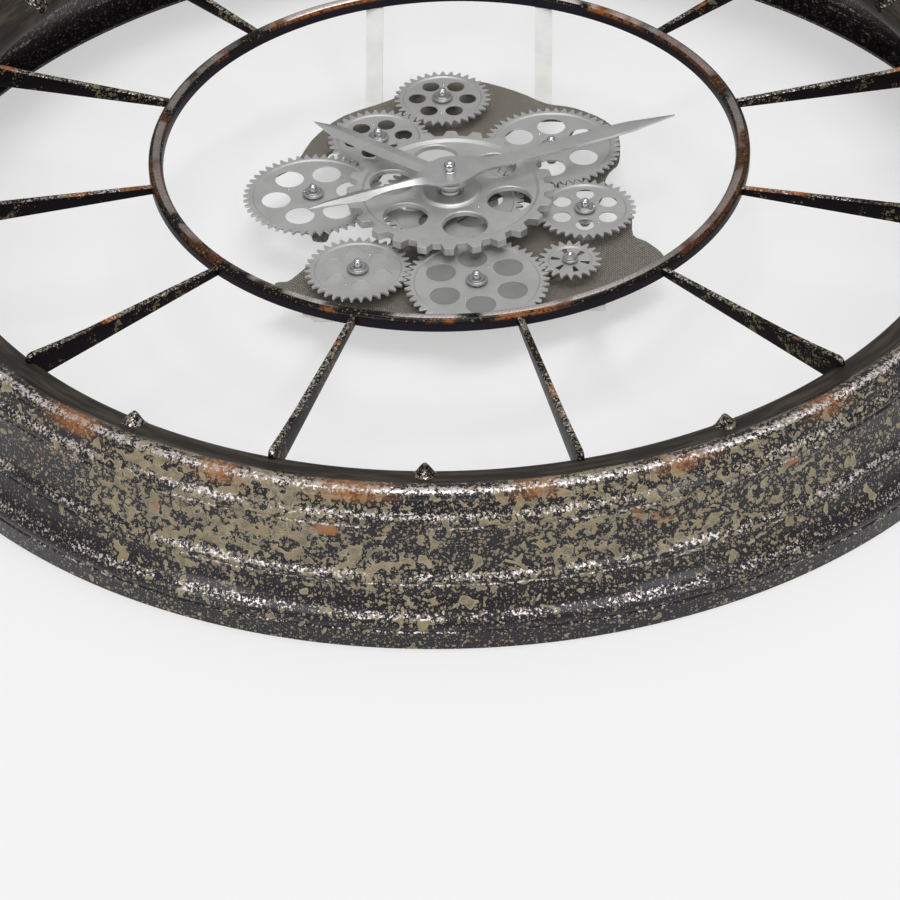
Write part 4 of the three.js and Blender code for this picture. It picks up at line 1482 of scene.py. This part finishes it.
@dataclass
class BigWheel:
    """Big gear with wide teeth, a dished face, large holes and a hub boss.

    Each step of the boss is how far its ring lies behind the front and how much it
    grows. The foot of the boss is counted from the web instead.
    """

    teeth: int = 24
    tip: float = 69.5
    root: float = 63.5
    back: float = 42.1
    front: float = 47.5
    dish: float = 1.6
    phase: float = 91.7
    hole_phase: float = 106.0
    hole_at: float = 41.0
    hole_r: float = 14.8
    ring_r: float = 59.8
    boss_r: float = 21.0
    bore: float = 9.06
    rivet_places: Sequence[Point] = ((25.2, -162.1), (27.5, -44.6))
    step_taper: float = 1.9
    boss_foot: Point = (0.4, -0.3)
    boss_steps: Sequence[Point] = ((0.15, -1.6), (0, -0.5), (0.25, -1.4), (0.9, -3.2), (1.1, -3.0))
    hole_wider: float = 0.6
    hole_slope: float = 0.7
    edge_round: float = 0.22

    def outline(self) -> list[Point]:
        """Draws the toothed outline.

        Returns:
            The outline, with wide teeth and flat gullets.
        """
        step = 360 / self.teeth
        foot = self.root + 0.5
        tooth = ((self.root, -0.335), (foot, -0.315), (self.tip, -0.168), (self.tip, 0.0),
                 (self.tip, 0.168), (foot, 0.315), (self.root, 0.335), (self.root, 0.42),
                 (self.root, 0.5), (self.root, 0.58))
        middles = [self.phase + step * i for i in range(self.teeth)]
        return [polar(radius, middle + share * step)
                for middle in middles for radius, share in tooth]

    def build(self, finishes: Finishes) -> None:
        """Forms the gear with its dish, boss and rivets.

        Args:
            finishes: The clock's finishes.
        """
        web = self.front - self.dish
        former = Former()
        outer_back = former.ring(self.outline(), self.back)
        outer_front = former.draw_out(outer_back, self.front)
        step_front = former.ring(circle(self.ring_r, 160), self.front)
        step_web = former.draw_out(step_front, web, -self.step_taper)
        boss_web = former.ring(circle(self.boss_r, 96), web)
        cup_floor = former.draw_out(boss_web, web + self.boss_foot[0], self.boss_foot[1])
        for drop, grow in self.boss_steps:
            cup_floor = former.draw_out(cup_floor, self.front - drop, grow)
        bore_top = former.ring(circle(self.bore, 48), self.front - self.boss_steps[-1][0])
        bore_back = former.draw_out(bore_top, self.back)
        holes_web, holes_back = [], []
        for i in range(HOLES):
            at = polar(self.hole_at, self.hole_phase - 360 / HOLES * i)
            mouth = former.ring(circle(self.hole_r + self.hole_wider, 64, at), web)
            throat = former.draw_out(mouth, web - self.hole_slope, -self.hole_wider, at)
            holes_web.append(mouth)
            holes_back.append(former.draw_out(throat, self.back, 0, at))
        former.cap(outer_front, step_front)
        former.cap(step_web, boss_web, *holes_web)
        former.cap(cup_floor, bore_top)
        former.cap(outer_back, bore_back, *holes_back)
        wheel = former.piece("big_wheel", sharp=28)
        soften(wheel, self.edge_round, angle=40)
        fit(wheel, finishes.gear, Slot.GEAR, Body.CENTRE.value, "big_gear")
        for number, (radius, degrees) in enumerate(self.rivet_places):
            rivet(f"big_wheel_rivet_{number + 1}", polar(radius, degrees), web, Body.CENTRE.value,
                  finishes)


@dataclass
class GearPlate:
    """Woven sheet behind the gears with open windows, arms and pads, and its four legs.

    The outline is measured in gear modules, and the rest in millimetres. Slabs that
    cross each other have different insets, so that no two faces lie in one plane.
    """

    back: float = 26.05
    front: float = 27.95
    module: float = 1.9
    foot_centre: Point = (-2.21, 39.21)
    foot_r: float = 105.3
    sides: Sequence[Point] = (
        (74.2, -24.2), (68.9, -17.4), (64.5, -13.7), (64.2, -2.1), (63.9, 4.5), (60.5, 11.5),
        (54.8, 18.4), (56.3, 26.3), (59.7, 32.6), (59.7, 48.4), (54.7, 58.9), (43.2, 67.4),
        (32.6, 70.5), (21.1, 78.9), (4.2, 86.3), (-15.8, 84.2), (-24.2, 73.7), (-42.1, 62.1),
        (-51.1, 49.5), (-54.7, 40.5), (-56.3, 34.7), (-58.9, 29.5), (-67.9, 22.1), (-71.6, 11.6),
        (-70.5, 1.1), (-66.3, -5.3), (-58.9, -10), (-49.5, -12.6), (-47.9, -16.3), (-43.2, -16.8),
        (-41.6, -10.5), (-34.7, -6.3), (-29.5, -2.6), (-24.6, -9.5), (-20.6, -14.6), (-21.6, -20.4),
        (-28.5, -22.2), (-38.5, -22.4), (-46, -29), (-51, -36.5), (-54.7, -41.6), (-58.9, -42.6))
    round_windows: Sequence[tuple[float, float, float]] = (
        (-93.1, 20.3, 37.0), (66.4, 77.4, 36.0), (90.4, 3.4, 24.6), (-60.5, -61.0, 13.0),
        (-79.5, 66.6, 9.0))
    middle_window: Sequence[Point] = (
        (0, 57), (13, 55), (19, 47), (26, 40.5), (33, 39.5), (42, 42), (52, 51), (62, 60), (75, 74),
        (90, 82), (109, 82), (120, 76), (131, 70), (139, 66), (146, 63), (155, 57), (168, 53),
        (182, 50), (200, 44), (215, 38), (225, 33), (250, 27), (270, 26), (300, 28), (330, 44))
    arms: Sequence[tuple[float, float, float, float]] = (
        (0, 0, 37, 25), (0, 0, -53, -2.4), (0, 0, 8.5, -31), (-93.1, 7.2, -81.6, -20.6),
        (66.9, 65.2, 83.4, 109.2), (90.4, -9.4, 103.0, 27.6))
    hub_arms: int = 3
    hub_overlap: float = 0.72
    arm_wide: float = 4.2
    pad_r: float = 3.6
    hub_pad_r: float = 10.8
    hub_bore: float = 6.6
    posts: Sequence[Point] = ((-93.1, 7.2), (66.9, 65.2), (90.4, -9.4))
    arm_inset: float = 0.12
    next_inset: float = 0.03
    pad_inset: float = 0.05
    hub_inset: float = 0.08

    def outline(self) -> list[Point]:
        """Draws the sheet's outline.

        Returns:
            The outline in millimetres, smoothed between its corners.
        """
        foot = arc(self.foot_r, -123.3, -41.8, 24, self.foot_centre)
        smooth = curve_through([foot[-1], *self.sides, foot[0]], 3)
        return [(x * self.module, z * self.module) for x, z in [*foot, *smooth[1:-1]]]

    def flat(self, former: Former, points: Iterable[Point], inset: float) -> None:
        """Forms a closed slab between the sheet's faces.

        Args:
            former: The mesh to add it to.
            points: Its outline.
            inset: How far its faces lie inside the sheet's.
        """
        low = former.ring(points, self.back + inset)
        high = former.draw_out(low, self.front - inset)
        former.cap(low)
        former.cap(high)

    def build(self, finishes: Finishes) -> None:
        """Forms the sheet and its arms, and dresses the frame's legs.

        Args:
            finishes: The clock's finishes.
        """
        former = Former()
        rim_low = former.ring(self.outline(), self.back)
        lows, highs = [rim_low], [former.draw_out(rim_low, self.front)]
        middle = [polar(radius, degrees) for degrees, radius in self.middle_window]
        rings = [curve_through([*middle, middle[0]], 4)[:-1]]
        rings += [circle(radius, 56, (x, z)) for x, z, radius in self.round_windows]
        for points in rings:
            low = former.ring(points, self.back)
            lows.append(low)
            highs.append(former.draw_out(low, self.front))
        former.cap(*lows)
        former.cap(*highs)
        fit(former.piece("plate_sheet"), finishes.plate, Slot.PLATE, Body.FRAME.value, "gear_plate")
        self.stays(finishes)
        for name in ("plate_leg_lower_left", "plate_leg_lower_right", "plate_leg_upper_left",
                     "plate_leg_upper_right"):
            dress(frame["nodes"][name], finishes.white)
            log.info("%s: kept from the frame", name)

    def stays(self, finishes: Finishes) -> None:
        """Forms the arms across the windows with the pads round the posts.

        Args:
            finishes: The clock's finishes.
        """
        former = Former()
        for index, (x0, z0, x1, z1) in enumerate(self.arms):
            length = math.hypot(x1 - x0, z1 - z0)
            nx, nz = -(z1 - z0) / length * self.arm_wide / 2, (x1 - x0) / length * self.arm_wide / 2
            start = self.hub_overlap * self.hub_pad_r / length if index < self.hub_arms else 0
            ax, az = x0 + (x1 - x0) * start, z0 + (z1 - z0) * start
            corners = [(ax - nx, az - nz), (x1 - nx, z1 - nz), (x1 + nx, z1 + nz),
                       (ax + nx, az + nz)]
            self.flat(former, corners, self.arm_inset + self.next_inset * index)
        for x, z in self.posts:
            self.flat(former, circle(self.pad_r, 32, (x, z)), self.pad_inset)
        low, bore = (former.ring(circle(radius, 48), self.back + self.hub_inset)
                     for radius in (self.hub_pad_r, self.hub_bore))
        high, bore_high = (former.draw_out(ring, self.front - self.hub_inset)
                           for ring in (low, bore))
        former.cap(low, bore)
        former.cap(high, bore_high)
        fit(former.piece("plate_arms"), finishes.plate, Slot.PLATE, Body.FRAME.value)


@dataclass
class Hand:
    """A blade whose ridge flattens out into its round hub.

    Sections run along the hand, each with its distance from the axis, its half
    width, how far its edges drop below the ridge and how far it is set forward. A
    section narrower than the tip's drops as a whole, and none is thinner than the least.
    """

    name: str
    node: str
    body: Body
    degrees: float
    back: float
    top: float
    sections: Sequence[tuple[float, float, float, float]]
    tip_half: float = 0.3
    tip_drop: float = 1.2
    least: float = 0.2
    edge_round: float = 0.3

    def build(self, finishes: Finishes) -> None:
        """Lofts the hand through its sections and stands it for the frame's.

        Args:
            finishes: The clock's finishes.
        """
        former = Former()
        angle = math.radians(self.degrees)
        along, across = (math.cos(angle), math.sin(angle)), (-math.sin(angle), math.cos(angle))

        def spot(u: float, v: float, depth: float) -> Any:
            """Adds a corner at a distance along and across the hand."""
            return former.bm.verts.new(place(u * along[0] + v * across[0],
                                             u * along[1] + v * across[1], depth))

        rings = []
        for u, half, drop, forward in self.sections:
            back = self.back + forward
            top = self.top + forward - (0 if half > self.tip_half else self.tip_drop)
            edge = max(top - drop, back + self.least)
            rings.append([spot(u, -half, back), spot(u, half, back), spot(u, half, edge),
                          spot(u, 0, top), spot(u, -half, edge)])
        loops = [[former.bm.edges.new(pair) for pair in zip(ring, ring[1:] + ring[:1])]
                 for ring in rings]
        for near, far in zip(loops, loops[1:]):
            bmesh.ops.bridge_loops(former.bm, edges=near + far)
        former.bm.faces.new(rings[0])
        former.bm.faces.new(rings[-1])
        hand = former.piece(self.name, sharp=14)
        soften(hand, self.edge_round, angle=40)
        fit(hand, finishes.hand, Slot.HAND, self.body.value, self.node)


@dataclass
class HandStack:
    """Both hands with the collars and the ball nut that hold them."""

    hour_deg: float = 144.6
    minute_deg: float = 25.6
    hour_sections: Sequence[tuple[float, float, float, float]] = (
        (-12.8, 1.0, 0.1, 0), (-12.2, 3.6, 0.1, 0), (-10.6, 7.0, 0.1, 0), (-8, 9.9, 0.1, 0),
        (-4, 12.1, 0.1, 0), (0, 12.8, 0.1, 0), (4, 12.1, 0.1, 0), (8, 10.1, 0.15, 0),
        (12, 8.4, 0.4, 0), (16, 7.5, 0.8, 0), (24, 7.0, 1.2, 0), (58, 7.2, 1.3, 0),
        (88, 7.1, 1.3, 0), (97, 6.2, 1.2, 0), (118, 0.12, 0.2, 0))
    minute_sections: Sequence[tuple[float, float, float, float]] = (
        (-101.5, 0.12, 0.1, 0), (-90, 2.6, 0.9, 0), (-77.6, 4.4, 1.5, 0), (-66, 6.3, 2.0, 0),
        (-62.5, 6.5, 2.1, 0), (-56, 4.7, 1.7, 0), (-46, 3.5, 1.4, 0), (-36, 3.6, 1.6, 0),
        (-28, 4.2, 1.9, 0), (-23.5, 5.3, 1.8, 0), (-20, 7.0, 1.5, 0), (-17, 8.8, 1.1, 0),
        (-14, 10.6, 0.75, 0), (-11, 12.3, 0.45, 0), (-8, 13.9, 0.25, 0), (-4, 15.6, 0.12, 0),
        (0, 16.4, 0.1, 0), (4, 15.9, 0.1, 0), (8, 14.8, 0.1, 0), (12, 13.1, 0.1, 0),
        (16, 11.3, 0.15, 0), (21, 9.4, 0.2, -0.2), (26, 7.6, 0.3, -1.2), (32, 6.4, 0.4, -2.2),
        (50, 6.1, 0.5, -2.35), (120, 6.0, 0.5, -2.35), (134, 5.3, 0.5, -2.35),
        (167.8, 0.12, 0.2, -2.35))
    hour_depths: Point = (55.05, 57.15)
    minute_depths: Point = (60.05, 62.45)
    hour_collar: Sequence[Point] = (
        (4.0, 48.2), (7.2, 48.2), (7.4, 48.5), (7.4, 51.0), (6.8, 51.3), (6.8, 52.0), (10.3, 52.1),
        (10.6, 52.4), (10.6, 53.0), (10.3, 53.3), (7.5, 53.5), (7.5, 55.2), (4.0, 55.2))
    minute_collar: Sequence[Point] = (
        (0, 57.6), (8.4, 57.6), (8.4, 58.6), (7.6, 58.9), (7.6, 60.2), (0, 60.2))
    ball_seat: Sequence[Point] = ((0, 62.2), (4.9, 62.2), (4.9, 62.7), (4.6, 62.9), (0, 62.9))
    ball_foot: Sequence[Point] = ((0, 62.5), (2.6, 62.5))
    ball_r: float = 4.1
    ball_at: float = 65.5

    def build(self, finishes: Finishes) -> None:
        """Makes the hands and the pieces on their axis.

        Args:
            finishes: The clock's finishes.
        """
        Hand("hour_blade", "hour_hand", Body.HOUR, self.hour_deg, *self.hour_depths,
             self.hour_sections).build(finishes)
        Hand("minute_blade", "minute_hand", Body.MINUTE, self.minute_deg, *self.minute_depths,
             self.minute_sections).build(finishes)
        self.turn("hour_collar", Body.HOUR, finishes.steel, Slot.STEEL, self.hour_collar, True)
        self.turn("minute_collar", Body.MINUTE, finishes.steel, Slot.STEEL, self.minute_collar,
                  False)
        self.turn("ball_seat", Body.MINUTE, finishes.chrome, Slot.CHROME, self.ball_seat, False,
                  "hand_nut")
        ball = [polar(self.ball_r, angle, (0, self.ball_at)) for angle in range(-48, 90, 6)]
        profile = (*self.ball_foot, *ball, (0, self.ball_at + self.ball_r))
        self.turn("ball", Body.MINUTE, finishes.chrome, Slot.CHROME, profile, False, "hand_dome")

    def turn(self, name: str, body: Body, material: bpy.types.Material, slot: Slot,
             profile: Sequence[Point], closed: bool, *nodes: str) -> None:
        """Turns one piece on the clock's axis and fits it.

        Args:
            name: The piece's name.
            body: The body that it rides on.
            material: Its finish.
            slot: The record's slot for that finish.
            profile: Points of radius and depth.
            closed: Whether the profile runs back to its first point.
            nodes: The frame's nodes that it stands for.
        """
        former = Former()
        former.spin(profile, 56, closed=closed)
        fit(former.piece(f"hands_{name}", sharp=38), material, slot, body.value, *nodes)


@dataclass
class KeptNodes:
    """Nodes whose shape is right and which get a finish only."""

    def build(self, finishes: Finishes) -> None:
        """Dresses the drive, the hanger and the small motor.

        Args:
            finishes: The clock's finishes.
        """
        plan = {
            "drive_case": finishes.white, "drive_cover": finishes.black,
            "battery_cell": finishes.cell, "setting_knob": finishes.black,
            "drive_sleeve": finishes.steel, "gear_motor": finishes.black,
            "hanger_strap": finishes.steel,
        }
        for name, material in plan.items():
            dress(frame["nodes"][name], material)
            log.info("%s: kept from the frame", name)


@dataclass
class Studio:
    """Wall, lights and camera.

    A lamp has its azimuth, its elevation, how wide it looks and its energy. The lamps
    of the low row share all but the azimuth.
    """

    azimuth: float = 4.14
    elevation: float = -50.41
    roll: float = 3.5
    distance: float = 1898.9
    target: tuple[float, float] = (7.17, -218.19)
    lens: float = 121.554
    wall_size: float = 6.0
    wall_gap: float = 0.3
    wall_grey: float = 0.9
    wall_glow: float = 0.98
    wall_share: float = 0.5
    room: float = 0.42
    low_row: Sequence[float] = (-64, -32, 0, 32, 64)
    low: Sequence[float] = (-46, 16, 0.22)
    front: Sequence[float] = (0, -4, 30, 0.85)
    right: Sequence[float] = (20, 9, 14, 0.25)

    def wall(self) -> None:
        """Hangs a plain pale wall behind the clock, which is clear from behind."""
        former = Former()
        upright = Matrix.Rotation(math.pi / 2, 4, "X")
        stand = Matrix.Translation(place(0, 0, -self.wall_gap)) @ upright
        bmesh.ops.create_grid(former.bm, x_segments=1, y_segments=1, size=self.wall_size,
                              matrix=stand)
        wall = former.piece("wall", solid=False)
        material, bench, shader = new_material("wall_white")
        shader.inputs["Base Color"].default_value = (*[self.wall_grey] * 3, 1)
        shader.inputs["Roughness"].default_value = 0.9
        shader.inputs["Specular IOR Level"].default_value = 0.0
        pale = bench.node("Emission", Color=(*[self.wall_glow] * 3, 1), Strength=1.0)
        clear = bench.node("BsdfTransparent")
        path = bench.node("LightPath")
        seen = bench.math("MAXIMUM", path.outputs["Is Camera Ray"], path.outputs["Is Glossy Ray"])
        share = bench.math("MULTIPLY", seen, self.wall_share)
        lit = bench.node("MixShader", in_0=share, in_1=shader.outputs[0], in_2=pale.outputs[0])
        behind = bench.node("NewGeometry").outputs["Backfacing"]
        whole = bench.node("MixShader", in_0=behind, in_1=lit.outputs[0], in_2=clear.outputs[0])
        output = next(n for n in bench.tree.nodes if n.type == "OUTPUT_MATERIAL")
        bench.tree.links.new(whole.outputs[0], output.inputs["Surface"])
        dress(wall, material)

    def lamp(self, name: str, azimuth: float, elevation: float, angle: float,
             energy: float) -> None:
        """Hangs one soft lamp far in front of the clock.

        Args:
            name: The lamp's name.
            azimuth: Degrees to the right of the clock's front.
            elevation: Degrees above the horizon.
            angle: How wide the lamp looks from the clock, in degrees.
            energy: Its strength.
        """
        data = bpy.data.lights.new(name, "SUN")
        data.energy = energy
        data.angle = math.radians(angle)
        lamp = bpy.data.objects.new(name, data)
        az, el = math.radians(azimuth), math.radians(elevation)
        towards = Vector((math.sin(az) * math.cos(el), -math.cos(az) * math.cos(el), math.sin(el)))
        lamp.rotation_euler = towards.to_track_quat("Z", "Y").to_euler()
        bpy.context.scene.collection.objects.link(lamp)

    def lights(self) -> None:
        """Sets the even room light, a row of low lamps and two near the clock's height."""
        world = bpy.data.worlds.new("room")
        bpy.context.scene.world = world
        world.use_nodes = True
        world.node_tree.nodes["Background"].inputs["Color"].default_value = (1, 1, 1, 1)
        world.node_tree.nodes["Background"].inputs["Strength"].default_value = self.room
        for number, azimuth in enumerate(self.low_row):
            self.lamp(f"low_lamp_{number + 1}", azimuth, *self.low)
        self.lamp("front_lamp", *self.front)
        self.lamp("right_lamp", *self.right)

    def camera(self) -> None:
        """Sets the camera where the photograph was taken from."""
        az, el, roll = (math.radians(a) for a in (self.azimuth, self.elevation, self.roll))
        back = Vector((math.sin(az) * math.cos(el), -math.cos(az) * math.cos(el), math.sin(el)))
        eye = place(self.target[0], self.target[1], 0) + back * self.distance * MM
        right = (-back).cross(Vector((0, 0, 1))).normalized()
        up = right.cross(-back)
        turned_right = math.cos(roll) * right + math.sin(roll) * up
        turned_up = -math.sin(roll) * right + math.cos(roll) * up
        data = bpy.data.cameras.new("camera")
        data.sensor_width = 36
        data.lens = self.lens
        data.clip_end = 50
        camera = bpy.data.objects.new("camera", data)
        axes = Matrix((turned_right, turned_up, back)).transposed()
        camera.matrix_world = Matrix.Translation(eye) @ axes.to_4x4()
        bpy.context.scene.collection.objects.link(camera)
        bpy.context.scene.camera = camera

    def build(self) -> None:
        """Sets up the whole studio."""
        self.wall()
        self.lights()
        self.camera()
        bpy.context.scene.view_settings.view_transform = "Standard"


def small_wheels() -> list[TrainWheel]:
    """Lists the small gears that turn on their own bolts.

    Returns:
        The gears, in the order in which they are built.
    """
    rows = (
        ("left", 48, Openings.LARGE, 13.5, 160), ("lower", 48, Openings.LARGE_POCKETS, 38, 68),
        ("upper_right", 48, Openings.LARGE, 31, 118), ("right", 34, Openings.SMALL, 30, 120),
        ("lower_left", 35, Openings.SMALL_POCKETS, 39.5, 68),
        ("pinion", 20, Openings.WINDOWS, -11, -1), ("upper_left", 35, Openings.SMALL, 15, 105),
        ("top", 34, Openings.SMALL, 0, 90),
    )
    return [TrainWheel(f"{name}_gear", f"{name}_gear", f"{name}_turn", teeth, style, hole, rivet)
            for name, teeth, style, hole, rivet in rows]


def main() -> None:
    """Builds every sub-assembly in order and logs each piece that it makes."""
    logging.basicConfig(level=logging.INFO, format="%(name)s: %(message)s")
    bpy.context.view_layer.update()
    finishes = Finishes()
    Studio().build()
    Rim().build(finishes)
    Studs().build(finishes)
    Hoop().build(finishes)
    Spokes().build(finishes)
    GearPlate().build(finishes)
    CentreWheel("centre_gear", Body.CENTRE.value, "centre_turn", 50, Openings.LARGE, 5, -1,
                bore=9.06).build(finishes)
    for wheel in small_wheels():
        wheel.build(finishes)
        clip = {"left_gear": 180, "right_gear": 0}.get(wheel.node, -1)
        Bolt(f"{wheel.node}_bolt", wheel, wheel.node == "pinion_gear", clip).build(finishes)
    BigWheel().build(finishes)
    HandStack().build(finishes)
    KeptNodes().build(finishes)


if __name__ == "__main__":
    main()
